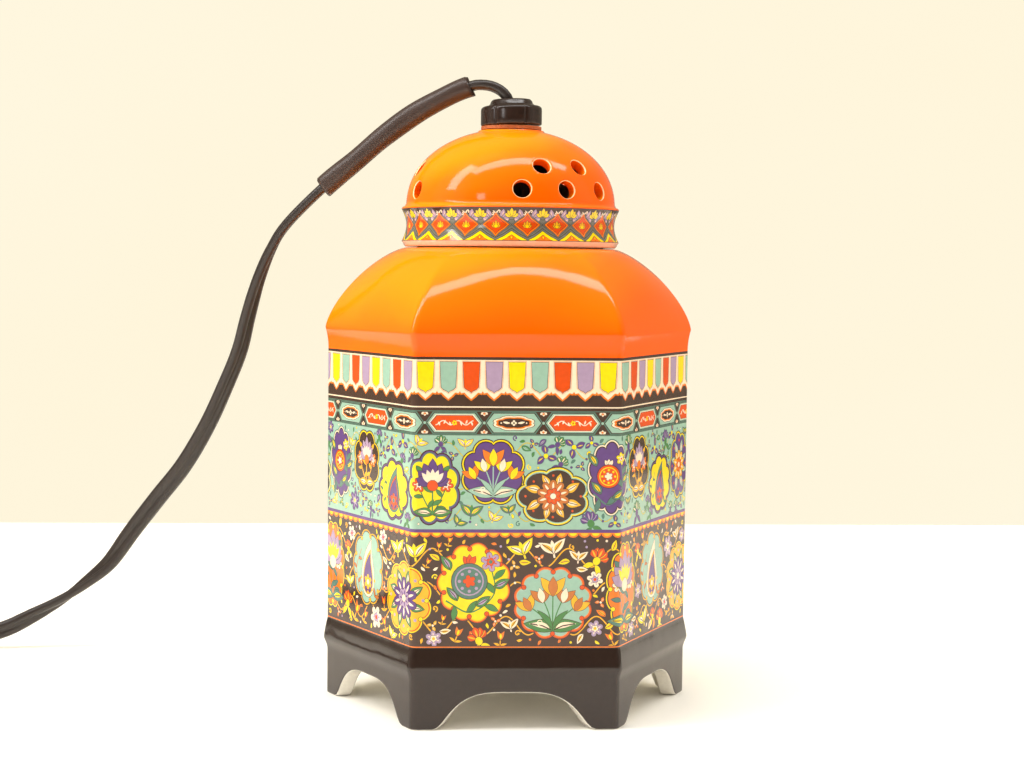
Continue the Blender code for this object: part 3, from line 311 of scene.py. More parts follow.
def disc(radius, count=14):
    return radius * np.exp(2j * np.pi * np.arange(count) / count)


def lobed(lobes, depth, count=8, power=0.7):
    """A unit round with outward lobes and sharp notches between them."""
    angle = 2 * np.pi * np.arange(lobes * count) / (lobes * count)
    swell = np.abs(np.sin(lobes * angle / 2)) ** power
    return np.exp(1j * angle) * (1 - depth + depth * swell)


def oval(shape, across, up):
    return shape.real * across + 1j * shape.imag * up


def petal(length, width, lean=0.0, fullness=1.0, count=8):
    """A leaf from 0 along the real axis, widest beyond its middle where fullness is over 1."""
    share = np.linspace(0.0, 1.0, count)
    half = width / 2 * np.sin(np.pi * share ** fullness)
    spine = length * share + 1j * lean * length * share ** 2
    return np.concatenate([spine - 1j * half, (spine + 1j * half)[-2:0:-1]])


def teardrop(size, curl=0.5, count=26):
    """A rounded drop whose tip leans over, upright, with its round end at the bottom."""
    angle = np.linspace(-np.pi / 2, 3 * np.pi / 2, count, endpoint=False)
    up = np.sin(angle)
    narrow = np.clip((1 - up) / 2, 0.0, 1.0) ** 0.6
    return size * (0.62 * np.cos(angle) * narrow + curl * np.clip(up, 0.0, 1.0) ** 3 * 0.5 + 1j * up)


def placed(shape, place, turn=0.0, size=1.0):
    return place + shape * size * np.exp(1j * turn)


def area(outline):
    return float(np.sum(outline.real * np.roll(outline.imag, -1)
                        - np.roll(outline.real, -1) * outline.imag)) / 2


def grown(outline, width):
    """The outline moved outwards by a width."""
    if area(outline) < 0:
        outline = outline[::-1]
    along = np.roll(outline, -1) - np.roll(outline, 1)
    return outline - 1j * along / np.maximum(np.abs(along), 1e-9) * width


def smooth(points, count):
    """Points along a smooth curve through a few given ones."""
    points = np.asarray(points, dtype=complex)
    ends = np.concatenate([[2 * points[0] - points[1]], points, [2 * points[-1] - points[-2]]])
    line = []
    for a, b, c, d in zip(ends, ends[1:], ends[2:], ends[3:]):
        t = np.arange(count) / count
        line.append(0.5 * (2 * b + (c - a) * t + (2 * a - 5 * b + 4 * c - d) * t ** 2
                           + (3 * b - a - 3 * c + d) * t ** 3))
    return np.concatenate(line + [points[-1:]])


def stroke(line, width, taper=0.0):
    """A line with a width, thinner towards its end by the taper share."""
    line = np.asarray(line, dtype=complex)
    along = np.gradient(line)
    half = width / 2 * (1 - taper * np.linspace(0.0, 1.0, len(line)))
    side = 1j * along / np.maximum(np.abs(along), 1e-9) * half
    return np.concatenate([line - side, (line + side)[::-1]])


def curl(size, handed=1, turns=0.85, count=12):
    """A scroll that starts at 0 towards the right and winds in."""
    share = np.linspace(0.0, 1.0, count)
    radius = size * (1 - 0.75 * share)
    angle = handed * (2 * np.pi * turns * share - np.pi / 2)
    return radius * np.exp(1j * angle) + 1j * handed * size


class Sheet:
    """Artwork in millimetres on an unrolled wall: later shapes lie over earlier ones."""

    def __init__(self, length):
        self.length = length
        self.band = (-1e9, 1e9)
        self.shapes = []

    def lay(self, outline, colour):
        outline = np.asarray(outline, dtype=complex)
        for shift in (-self.length, 0.0, self.length):
            moved = outline + shift
            if moved.real.max() > 0 and moved.real.min() < self.length:
                self.shapes.append((moved, COLOURS.index(colour), self.band))

    def strip(self, low, high, colour):
        self.shapes.append((np.array([low * 1j, self.length + low * 1j, self.length + high * 1j, high * 1j]),
                            COLOURS.index(colour), self.band))

    def edged(self, outline, colour, edge="brown", width=0.16):
        self.lay(grown(outline, width), edge)
        self.lay(outline, colour)

    def line(self, points, colour, width, taper=0.0):
        self.lay(stroke(points, width, taper), colour)


def blossom(sheet, place, size, colour, heart, petals=5, edge="brown", turn=0.0):
    sheet.edged(placed(lobed(petals, 0.4, 4), place, turn, size), colour, edge, 0.14)
    sheet.lay(placed(disc(0.34, 8), place, 0.0, size), heart)


def leaf(sheet, place, length, turn, colour, edge="brown", lean=0.18, width=0.4):
    sheet.edged(placed(petal(length, width * length, lean), place, turn), colour, edge, 0.12)


def leaf_pair(sheet, place, length, turn, colour, edge="brown"):
    for side in (1, -1):
        leaf(sheet, place, length, turn + side * 0.62, colour, edge, 0.25 * side)


def tulip(sheet, place, size, turn, colours, edge="brown"):
    outer, inner = colours
    for side in (1, -1):
        sheet.edged(placed(petal(1.0, 0.5, 0.28 * side, 0.9), place, turn + 0.3 * side, size), outer, edge,
                    0.14)
    sheet.edged(placed(petal(0.92, 0.42, 0.0, 0.9), place, turn, size), inner, edge, 0.1)


def palmette(sheet, place, size, turn, colours, petals=5, edge="brown"):
    outer, inner, heart = colours
    for number in range(petals):
        share = 2 * number / (petals - 1) - 1
        lengths = 1.0 - 0.35 * abs(share)
        sheet.edged(placed(petal(lengths, 0.36, 0.0, 1.25), place, turn + share * 1.15, size), outer, edge,
                    0.14)
    for number in range(petals - 2):
        share = 2 * number / (petals - 3) - 1
        sheet.lay(placed(petal(0.62, 0.2, 0.0, 1.2), place, turn + share * 0.7, size), inner)
    sheet.edged(placed(disc(0.2, 10), place, 0.0, size), heart, edge, 0.12)


def scroll(sheet, place, size, turn, handed, colour, width=0.32):
    line = placed(curl(size, handed), place, turn)
    sheet.line(line, colour, width, 0.35)
    sheet.lay(line[-1] + disc(width * 0.85, 8), colour)


def stem(sheet, points, colour, width, leaves=0, leaf_colour=None, size=1.6, edge="brown"):
    line = smooth(points, 6)
    sheet.line(line, colour, width, 0.2)
    for number in range(leaves):
        index = int((number + 0.8) / (leaves + 0.6) * (len(line) - 1))
        heading = np.angle(line[min(index + 1, len(line) - 1)] - line[index - 1])
        side = 1 if number % 2 else -1
        leaf(sheet, line[index], size, heading + side * 0.85, leaf_colour or colour, edge, 0.2 * side)


def bouquet(sheet, centre, across, up, colours):
    """A large fan flower between two round ones, on leafy stems."""
    main, second, light, leafy = colours
    foot = centre - 0.84j * up
    for side in (1, -1):
        stem(sheet, [foot, foot + side * 0.3 * across + 0.4j * up,
                     centre + side * 0.55 * across - 0.02j * up],
             leafy, 0.4, 2, leafy, 0.3 * up)
        veined_leaf(sheet, foot, 0.58 * up, np.pi / 2 + side * 1.15, (leafy, light), "brown", 0.3 * side)
        round_flower(sheet, centre + side * 0.56 * across + 0.08j * up, 0.3 * across, 0.4,
                     (second, light, main), "brown")
        leaf(sheet, centre + side * 0.4 * across + 0.42j * up, 0.34 * up, np.pi / 2 - side * 0.7, leafy,
             "brown", 0.0, 0.45)
    stem(sheet, [foot, centre - 0.3j * up, centre + 0.1j * up], leafy, 0.45, 2, leafy, 0.34 * up)
    palmette(sheet, centre + 0.06j * up, 0.84 * up, np.pi / 2, (main, light, second), 7)


def rosette(sheet, centre, across, up, colours):
    """A round flower with three rings of petals, among veined leaves."""
    main, second, light, leafy = colours
    for number in range(8):
        turn = np.pi / 4 * (number + 0.5)
        reach = abs(oval(np.exp(1j * turn), across, up))
        veined_leaf(sheet, centre + 0.4 * reach * np.exp(1j * turn), 0.52 * reach, turn, (leafy, light),
                    "brown", 0.15)
        sheet.lay(centre + 0.84 * oval(np.exp(1j * (turn + np.pi / 8)), across, up) + disc(0.05 * up, 7),
                  second)
    size = 0.66 * min(across, up)
    sheet.edged(centre + lobed(10, 0.28, 5) * size, main, "brown", 0.2)
    for number in range(10):
        sheet.lay(placed(petal(0.62, 0.13, 0.0, 1.4, 6) + 0.26, centre, np.pi / 5 * (number + 0.5), size),
                  light)
    sheet.edged(centre + lobed(7, 0.25, 4) * size * 0.5, second, "brown", 0.14)
    for number in range(7):
        sheet.lay(placed(petal(0.3, 0.08, 0.0, 1.2, 5) + 0.12, centre, 2 * np.pi / 7 * (number + 0.5),
                         size), main)
    sheet.edged(centre + disc(size * 0.18, 10), light, "brown", 0.1)


def boteh(sheet, centre, across, up, colours, handed=1):
    """A leaning drop with a smaller one inside it, dots round its foot and a sprig beside it."""
    main, second, light, leafy = colours
    for size, colour in ((0.86, main), (0.66, light), (0.58, second)):
        drop = teardrop(1.0) * size
        drop = (handed * drop.real * across * 1.15 + 1j * drop.imag * up) - 1j * (0.86 - size) * 0.55 * up
        sheet.edged(centre + drop, colour, "brown", 0.14)
    for number in range(5):
        angle = np.pi * (1.1 + 0.2 * number)
        sheet.lay(centre - 0.16j * up + oval(np.exp(1j * angle), across * 0.5, up * 0.56)
                  + disc(0.055 * up, 7), light)
    blossom(sheet, centre - 0.42j * up, 0.27 * across, light, main, 6)
    stem(sheet, [centre - handed * 0.6 * across - 0.75j * up, centre - handed * 0.85 * across - 0.1j * up,
                 centre - handed * 0.5 * across + 0.5j * up], leafy, 0.28, 3, leafy, 0.22 * up)
    leaf_pair(sheet, centre + handed * 0.5 * across - 0.8j * up, 0.26 * up, 0.9 if handed > 0 else 2.2, leafy)


def tulips(sheet, centre, across, up, colours):
    """A fan of five tulips over curled leaves."""
    main, second, light, leafy = colours
    foot = centre - 0.88j * up
    for side in (-1, 1, -0.45, 0.45, 0):
        head = centre + side * 0.62 * across + (0.32 - 0.45 * abs(side)) * 1j * up
        stem(sheet, [foot, (foot + head) / 2 - side * 0.1 * across, head], leafy, 0.38)
    for side in (1, -1):
        veined_leaf(sheet, foot + 0.02j * up, 0.85 * up, np.pi / 2 + side * 0.95, (leafy, light), "brown",
                    0.4 * side)
        leaf(sheet, foot + 0.1j * up, 0.7 * up, np.pi / 2 + side * 0.42, leafy, "brown", 0.3 * side, 0.24)
        scroll(sheet, foot + 0.16j * up + side * 0.34 * across, 0.12 * up, 0.0 if side > 0 else np.pi, side,
               light, 0.28)
    for side in (-1, 1, -0.45, 0.45, 0):
        head = centre + side * 0.62 * across + (0.32 - 0.45 * abs(side)) * 1j * up
        pair = (main, second) if abs(side) != 0.45 else (second, light)
        tulip(sheet, head - 0.12j * up, (0.66 if not side else 0.52) * up, np.pi / 2 - side * 0.5, pair)


def fruit(sheet, centre, across, up, colours):
    """A round fruit on a branch with broad leaves, a flower and a bud."""
    main, second, light, leafy = colours
    stem(sheet, [centre - 0.85 * across - 0.5j * up, centre - 0.1 * across - 0.82j * up,
                 centre + 0.62 * across - 0.3j * up, centre + 0.5 * across + 0.5j * up], leafy, 0.45, 5,
         leafy, 0.42 * up)
    for place, turn in ((-0.5 - 0.5j, 2.0), (0.05 - 0.62j, 0.3), (0.6 - 0.1j, 0.2), (-0.72 + 0.35j, 1.9)):
        veined_leaf(sheet, centre + oval(np.array([place]), across, up)[0], 0.46 * up, turn, (leafy, light),
                    "brown")
    size = 0.54 * min(across, up)
    heart = centre - 0.14 * across + 0.04j * up
    for side in (-1, 0, 1):
        leaf(sheet, heart + 0.86j * size, 0.66 * size, np.pi / 2 - 0.55 * side, second, "brown", 0.0, 0.5)
    sheet.edged(heart + disc(size, 22), main, "brown", 0.2)
    sheet.lay(heart + disc(size * 0.82, 20) * 1.0, light)
    sheet.lay(heart + disc(size * 0.74, 20), main)
    for number in range(8):
        sheet.lay(heart + (0.56 * size) * np.exp(2j * np.pi * number / 8) + disc(0.1 * size, 6), light)
    sheet.edged(heart + lobed(5, 0.4, 4) * 0.36 * size, second, "brown", 0.1)
    round_flower(sheet, centre + 0.5 * across + 0.58j * up, 0.3 * across, 0.2, (light, second, main), "brown")


def medallion(sheet, centre, across, up, ground, rims, lobes, depth=0.16):
    """A lobed field with coloured rims, outermost first."""
    shape = oval(lobed(lobes, depth, 9, 0.8), across, up)
    for number, rim in enumerate(rims):
        sheet.lay(centre + grown(shape, 0.34 * (len(rims) - number)), rim)
    sheet.lay(centre + shape, ground)


# The jar's wall, unrolled

def plan_stretches():
    """The rounded hexagon, from the middle of its back, as (start distance, point, heading, curvature)."""
    corners = [-FRONT_HALF + HALF_DEPTH * 1j, -HALF_WIDTH + 0j, -FRONT_HALF - HALF_DEPTH * 1j,
               FRONT_HALF - HALF_DEPTH * 1j, HALF_WIDTH + 0j, FRONT_HALF + HALF_DEPTH * 1j]
    place, heading, distance = HALF_DEPTH * 1j, math.pi, 0.0
    stretches = []
    for number, corner in enumerate(corners):
        beyond = corners[(number + 1) % 6]
        turn = (np.angle(beyond - corner) - heading) % (2 * math.pi)
        reach = CORNER_RADIUS * math.tan(turn / 2)
        stretches.append((distance, place, heading, 0.0))
        distance += abs(corner - place) - reach
        place = corner - reach * np.exp(1j * heading)
        stretches.append((distance, place, heading, 1 / CORNER_RADIUS))
        distance += CORNER_RADIUS * turn
        heading += turn
        place = corner + reach * np.exp(1j * heading)
    stretches.append((distance, place, heading, 0.0))
    return stretches, distance + abs(HALF_DEPTH * 1j - place)


STRETCHES, ROUND_LENGTH = plan_stretches()
STRETCH_STARTS = np.array([stretch[0] for stretch in STRETCHES])
ROUND_CORNERS = [(STRETCH_STARTS[n], STRETCH_STARTS[n + 1]) for n in range(1, 13, 2)]
FRONT_LOW = sum(ROUND_CORNERS[2]) / 2


def plan(along):
    """Plan points of the wall at distances along it."""
    along = np.asarray(along, dtype=float)
    index = np.clip(np.searchsorted(STRETCH_STARTS, along, side="right") - 1, 0, len(STRETCHES) - 1)
    points = np.empty(len(along), dtype=complex)
    for number, (start, place, heading, bend) in enumerate(STRETCHES):
        here = index == number
        far = along[here] - start
        if bend:
            points[here] = place + (np.exp(1j * (heading + far * bend)) - np.exp(1j * heading)) / (1j * bend)
        else:
            points[here] = place + far * np.exp(1j * heading)
    return points


CORNER_STEPS = 8
SUPPORT = 0.35
COLUMN_STEP = 1.3


def wall_columns():
    """Distances round the wall where its mesh has upright edges, and the ones at the corners alone."""
    columns = []
    bends = []
    previous = 0.0
    for start, end in ROUND_CORNERS + [(ROUND_LENGTH, ROUND_LENGTH)]:
        low = previous + (SUPPORT if previous else 0.0)
        high = start - (SUPPORT if start < ROUND_LENGTH else 0.0)
        columns += list(np.linspace(low, high, round((high - low) / COLUMN_STEP) + 1))
        if start < ROUND_LENGTH:
            bend = list(np.linspace(start, end, CORNER_STEPS + 1))
            bends += [high] + bend + [end + SUPPORT]
            columns += bend
        previous = end
    return np.array(columns), np.array(bends)


COLUMNS, BENDS = wall_columns()


# Paint by triangles: the artwork's outlines cut the wall's mesh, and each face takes one enamel

def cut_sheet(sheet, low, high, uprights, levels, ticks):
    """Flat triangles of a sheet between two heights, split along the artwork, with a colour for each."""
    points = []
    edges = []

    def path(line, closed):
        first = len(points)
        points.extend((p.real, p.imag) for p in line)
        count = len(line)
        edges.extend((first + n, first + n + 1) for n in range(count - 1))
        if closed:
            edges.append((first + count - 1, first))

    for height in (low, high):
        path([x + 1j * height for x in ticks], False)
    for across in uprights:
        path([across + 1j * low, across + 1j * high], False)
    for height in levels:
        path([height * 1j, sheet.length + height * 1j], False)
    for outline, _, _ in sheet.shapes:
        path(outline, True)
    corners, _, faces, _, _, _ = delaunay_2d_cdt([Vector(p) for p in points], edges, [], 0, 0.002, False)
    flat = np.array([complex(p[0], p[1]) for p in corners])
    faces = np.array(faces)
    centres = flat[faces].mean(axis=1)
    wide = np.abs(np.imag(np.conj(flat[faces[:, 1]] - flat[faces[:, 0]]) * (flat[faces[:, 2]]
                                                                            - flat[faces[:, 0]])))
    kept = ((centres.real > 0) & (centres.real < sheet.length) & (centres.imag > low) & (centres.imag < high)
            & (wide > 1e-7))
    faces = faces[kept]
    return flat, faces, painted(centres[kept], sheet.shapes)


def painted(centres, shapes):
    """The colour of the last shape that lies over each centre."""
    order = np.argsort(centres.real)
    line = centres[order]
    colours = np.zeros(len(centres), dtype=int)
    for outline, colour, (low, high) in shapes:
        first = np.searchsorted(line.real, outline.real.min())
        last = np.searchsorted(line.real, outline.real.max())
        near = line[first:last]
        held = (near.imag > max(low, outline.imag.min())) & (near.imag < min(high, outline.imag.max()))
        index = first + np.nonzero(held)[0]
        if not len(index):
            continue
        start, end = outline, np.roll(outline, -1)
        spot = line[index][:, None]
        side = np.imag(np.conj(end - start)[None, :] * (spot - start[None, :]))
        rising = (start.imag[None, :] <= spot.imag) & (end.imag[None, :] > spot.imag) & (side > 0)
        falling = (start.imag[None, :] > spot.imag) & (end.imag[None, :] <= spot.imag) & (side < 0)
        inside = rising.sum(axis=1) != falling.sum(axis=1)
        colours[index[inside]] = colour
    result = np.empty(len(centres), dtype=int)
    result[order] = colours
    return result


class Body:
    """Faces collected for one mesh, in millimetres, with the enamel of each."""

    def __init__(self):
        self.points = []
        self.faces = []
        self.finish = []
        self.count = 0

    def add(self, points, faces, finish):
        self.points.append(np.asarray(points, dtype=float))
        self.faces.extend([tuple(int(v) + self.count for v in face) for face in faces])
        self.finish.extend(finish)
        self.count += len(points)

    def rows(self, rows, colours, closed=True):
        """Quads between rows of points. Each row but the first has the colour of the strip before it."""
        count = len(rows[0])
        faces = []
        finish = []
        for number in range(len(rows) - 1):
            colour = COLOURS.index(colours[number])
            for n in range(count if closed else count - 1):
                beside = (n + 1) % count
                faces.append((number * count + n, number * count + beside, (number + 1) * count + beside,
                              (number + 1) * count + n))
                finish.append(colour)
        self.add(np.concatenate(rows), faces, finish)

    def build(self, name, finishes, merge=0.0004):
        mesh = bpy.data.meshes.new(name)
        mesh.from_pydata((np.concatenate(self.points) * MM).tolist(), [], self.faces)
        mesh.polygons.foreach_set("material_index", self.finish)
        bm = bmesh.new()
        bm.from_mesh(mesh)
        bmesh.ops.remove_doubles(bm, verts=bm.verts, dist=merge * MM)
        bmesh.ops.dissolve_degenerate(bm, edges=bm.edges, dist=merge * MM)
        bmesh.ops.recalc_face_normals(bm, faces=bm.faces)
        bm.to_mesh(mesh)
        bm.free()
        for finish in finishes:
            mesh.materials.append(finish)
        mesh.shade_smooth()
        piece = bpy.data.objects.new(name, mesh)
        bpy.context.scene.collection.objects.link(piece)
        return piece

    def build_plain(self, name, finish):
        """A piece with one finish all over."""
        self.finish = [0] * len(self.finish)
        return self.build(name, [finish])


def level(plan_points, height):
    """A row of 3D points from plan points and one height, or a height for each."""
    height = np.broadcast_to(height, plan_points.shape)
    return np.stack([plan_points.real, plan_points.imag, height], axis=1)


def smooth_step(share):
    return share * share * (3 - 2 * share)


def power_arc(across, up, power, steps, stop=1.0):
    angles = np.linspace(0.0, stop, steps + 1) * np.pi / 2
    return [(across * max(0.0, math.cos(a)) ** (2 / power), up * math.sin(a) ** (2 / power)) for a in angles]


# Jar artwork

def pennant_band(sheet):
    pitch = sheet.length / PENNANTS
    order = ["yellow", "mint", "red", "lavender"]
    sheet.band = (PENNANT_LOW, BAND_HIGH)
    sheet.strip(PENNANT_LOW, BAND_HIGH + 0.2, "brown")
    half = pitch / 2
    first = FRONT_LOW % pitch
    scallop = [(-0.5, 12.0), (-0.5, 3.3), (-0.44, 2.7), (-0.3, 2.9), (-0.16, 2.0), (0.0, 1.1), (0.16, 2.0),
               (0.3, 2.9),
               (0.44, 2.7), (0.5, 3.3), (0.5, 12.0)]
    flag = [(-0.37, 11.3), (-0.34, 8.0), (-0.31, 4.3), (-0.2, 3.7), (-0.08, 3.4), (0.0, 2.9), (0.08, 3.4),
            (0.2, 3.7),
            (0.31, 4.3), (0.34, 8.0), (0.37, 11.3)]

    def hung(middle, shape):
        return np.array([middle + x * pitch + 1j * (PENNANT_FOOT + y) for x, y in shape])

    middles = [first + pitch * number + half for number in range(PENNANTS)]
    for middle in middles:
        sheet.lay(grown(hung(middle, scallop)[::-1], 0.5), "tangerine")
    for middle in middles:
        sheet.lay(hung(middle, scallop), "cream")
        outline = hung(middle, flag)
        sheet.lay(grown(outline, 0.42), "tangerine")
        sheet.lay(grown(outline, 0.3), "cream")
        front_index = round((middle - FRONT_LOW - half) / pitch)
        sheet.edged(outline, order[front_index % 4], "brown", 0.16)
    sheet.strip(BAND_HIGH - 0.8, BAND_HIGH + 0.2, "brown")
    sheet.strip(90.05, 90.4, "cream")


def cartouche_band(sheet):
    """Long hexagons, red and cream by turns, whose pale green edges cross between them."""
    sheet.band = (CARTOUCHE_LOW, CARTOUCHE_HIGH)
    sheet.strip(CARTOUCHE_LOW, CARTOUCHE_HIGH, "brown")
    sheet.strip(82.5, 82.72, "teal")
    sheet.strip(89.0, 89.2, "teal")
    pitch = sheet.length / CARTOUCHES
    middle_z = CARTOUCHE_MIDDLE * 1j
    ruffle = lobed(8, 0.1, 4)
    hexagon = np.array([-1.0, -0.74 - 1j, 0.74 - 1j, 1.0, 0.74 + 1j, -0.74 + 1j])
    first = (FRONT_LOW + CARTOUCHE_START) % pitch
    for number in range(CARTOUCHES):
        centre = first + pitch * number + middle_z
        odd = round((centre.real - FRONT_LOW - CARTOUCHE_START) / pitch) % 2
        sheet.lay(centre + oval(hexagon, 8.1, 3.05), "teal")
        sheet.lay(centre + oval(hexagon, 7.75, 2.8), "brown")
        if odd:
            sheet.lay(centre + oval(hexagon, 7.5, 2.6), "mint")
            for across, up, colour in ((6.1, 2.2, "brown"), (5.9, 2.05, "cream"), (5.2, 1.7, "tangerine"),
                                       (4.6, 1.35, "brown")):
                sheet.lay(centre + oval(ruffle, across, up), colour)
            blossom(sheet, centre, 0.8, "cream", "brown", 4, "brown", np.pi / 4)
            for side in (1, -1):
                leaf(sheet, centre + side * 1.0, 2.1, 0.0 if side > 0 else np.pi, "cream", "brown",
                     0.15 * side, 0.3)
                sheet.lay(centre + side * 3.5 + disc(0.22, 6), "cream")
        else:
            for across, up, colour in ((7.5, 2.6, "mint"), (7.0, 2.3, "cream"), (6.7, 2.1, "brown"),
                                       (6.5, 1.98, "red")):
                sheet.lay(centre + oval(hexagon, across, up), colour)
            span = np.linspace(-5.2, 5.2, 31)
            sheet.line(centre + span + 0.6j * np.sin(span * 1.5), "cream", 0.26)
            for step in range(7):
                side = 1 if step % 2 else -1
                place = centre - 4.5 + step * 1.5
                sheet.lay(placed(petal(1.2, 0.5, 0.25 * side, 1.0, 5), place - 0.3j * side, side * 0.9),
                          "cream")
            blossom(sheet, centre, 0.75, "yellow", "red", 5, "red")
    for number in range(CARTOUCHES):
        between = first + pitch * (number + 0.5) + middle_z
        for side in (1, -1):
            foot = between + side * 3.0j
            for turn in (-0.95, 0.95, 0.0):
                sheet.edged(placed(petal(1.15, 0.72, 0.0, 1.4, 6), foot, -side * np.pi / 2 + turn), "cream",
                            "brown", 0.1)
            sheet.lay(foot - side * 0.5j + disc(0.28, 7), "tangerine")
        sheet.edged(between + disc(0.4, 8), "mint", "brown", 0.14)


def clear_of(place, ovals, length, room):
    for centre, across, up in ovals:
        apart = place - centre
        apart = complex((apart.real + length / 2) % length - length / 2, apart.imag)
        if math.hypot(apart.real / (across + room), apart.imag / (up + room)) < 1.0:
            return False
    return True


def packed(length, low, high, ovals, sizes):
    """Places for motifs in a band, from the largest size down, clear of the ovals and of each other."""
    discs = []
    for size, tries in sizes:
        for _ in range(tries):
            place = complex(RNG.uniform(0.0, length), RNG.uniform(low + 0.6 * size, high - 0.6 * size))
            if clear_of(place, ovals, length, size * 0.92 + 0.5) and clear_of(place, discs, length,
                                                                              size * 0.92):
                discs.append((place, size * 0.92, size * 0.92))
    return [(place, size / 0.92) for place, size, _ in discs]


def carnation(sheet, place, size, turn, colours, edge):
    """A fan of notched petals over a round cup, with two leaves."""
    outer, inner, cup = colours
    for side in (1, -1):
        leaf(sheet, placed(-0.35 + 0j, place, turn, size), 0.95 * size, turn + side * 2.0, cup, edge,
             0.35 * side, 0.42)
    for share in (-1.0, -0.5, 0.5, 1.0, 0.0):
        sheet.edged(placed(petal(0.95 - 0.12 * abs(share), 0.5, 0.0, 1.7), place, turn + share * 0.95,
                           size), outer, edge, 0.15)
        sheet.lay(placed(petal(0.8, 0.13, 0.0, 1.5, 6), place, turn + share * 0.95, size), inner)
    sheet.edged(placed(oval(disc(1.0, 10), 0.3, 0.26) - 0.08, place, turn, size), cup, edge, 0.13)


def trefoil(sheet, place, size, turn, colour, heart, edge):
    """Three broad leaves round a bright dot, with a lighter vein in each."""
    for number in range(3):
        spread = turn + number * 2 * math.pi / 3
        leaf(sheet, place + 0.12 * size * np.exp(1j * spread), 0.88 * size, spread, colour, edge, 0.22, 0.62)
        sheet.lay(placed(petal(0.5, 0.09, 0.1, 1.0, 5), place + 0.3 * size * np.exp(1j * spread), spread,
                         size), heart)
    sheet.edged(place + disc(0.2 * size, 8), heart, edge, 0.12)


def veined_leaf(sheet, place, length, turn, colours, edge, lean=0.25):
    """A broad leaf with a second tint inside it and a vein."""
    outer, inner = colours
    sheet.edged(placed(petal(1.0, 0.5, lean, 0.85, 10), place, turn, length), outer, edge, 0.16)
    sheet.lay(placed(petal(0.72, 0.22, lean, 0.9, 8) + 0.12, place, turn, length), inner)
    sheet.lay(placed(stroke(np.array([0.06, 0.4 + 0.4j * lean * 0.4, 0.8 + 0.64j * lean]), 0.045), place,
                     turn, length), edge)


def twin_leaves(sheet, place, size, turn, colours, edge):
    foot = place - 0.7 * size * np.exp(1j * turn)
    sheet.line([foot - 0.35 * size * np.exp(1j * turn), foot, place], colours[0], 0.16 * size)
    for side in (1, -1):
        veined_leaf(sheet, foot, 1.55 * size, turn + side * 0.5, colours, edge, 0.3 * side)
    sheet.lay(placed(petal(0.62, 0.3, 0.0, 1.0, 7), place - 0.15 * size * np.exp(1j * turn), turn, size),
              colours[0])


def flower_bud(sheet, place, size, turn, colours, edge):
    """A pointed bud with a flame inside, on a stem with two leaves."""
    outer, inner, leafy = colours
    foot = place - 0.95 * size * np.exp(1j * turn)
    sheet.line([foot, place], leafy, 0.13 * size)
    for side in (1, -1):
        leaf(sheet, foot, 0.85 * size, turn + side * 0.85, leafy, edge, 0.3 * side, 0.36)
    for side in (1, -1):
        sheet.edged(placed(petal(1.2, 0.46, 0.2 * side, 0.75), place - 0.2 * size * np.exp(1j * turn),
                           turn + 0.16 * side, size), outer, edge, 0.14)
    sheet.lay(placed(petal(0.72, 0.3, 0.0, 0.8), place - 0.05 * size * np.exp(1j * turn), turn, size), inner)


def round_flower(sheet, place, size, turn, colours, edge):
    """Two rings of petals round a heart."""
    outer, inner, heart = colours
    sheet.edged(placed(lobed(6, 0.42, 5), place, turn, size), outer, edge, 0.15)
    for number in range(6):
        spread = turn + number * math.pi / 3 + math.pi / 6
        sheet.lay(placed(petal(0.46, 0.13, 0.0, 1.3, 5) + 0.3, place, spread, size), inner)
    sheet.edged(placed(lobed(5, 0.3, 4), place, turn + 0.4, 0.42 * size), inner, edge, 0.1)
    sheet.lay(place + disc(0.2 * size, 8), heart)


def set_out(sheet, kinds, count, first, uneven, middle):
    """The fields of a band, kind after kind and a little unevenly spaced."""
    pitch = sheet.length / count
    fields = []
    for number in range(count):
        ground, across, up, rise, *rest = kinds[number % len(kinds)]
        centre = (FRONT_LOW + first + pitch * number + RNG.uniform(-uneven, uneven)) % sheet.length
        fields.append((centre + 1j * (middle + rise), across, up, ground, *rest))
    return fields


def vines(sheet, middle, swing, waves, courses, lines):
    """Wavy lines round a band, one for each phase and rise, each drawn in every colour and width."""
    wave = np.linspace(0.0, sheet.length, 641)
    for phase, rise in courses:
        vine = wave + 1j * (middle + rise + swing * np.sin(wave / sheet.length * 2 * np.pi * waves + phase))
        for colour, width in lines:
            sheet.line(vine, colour, width)


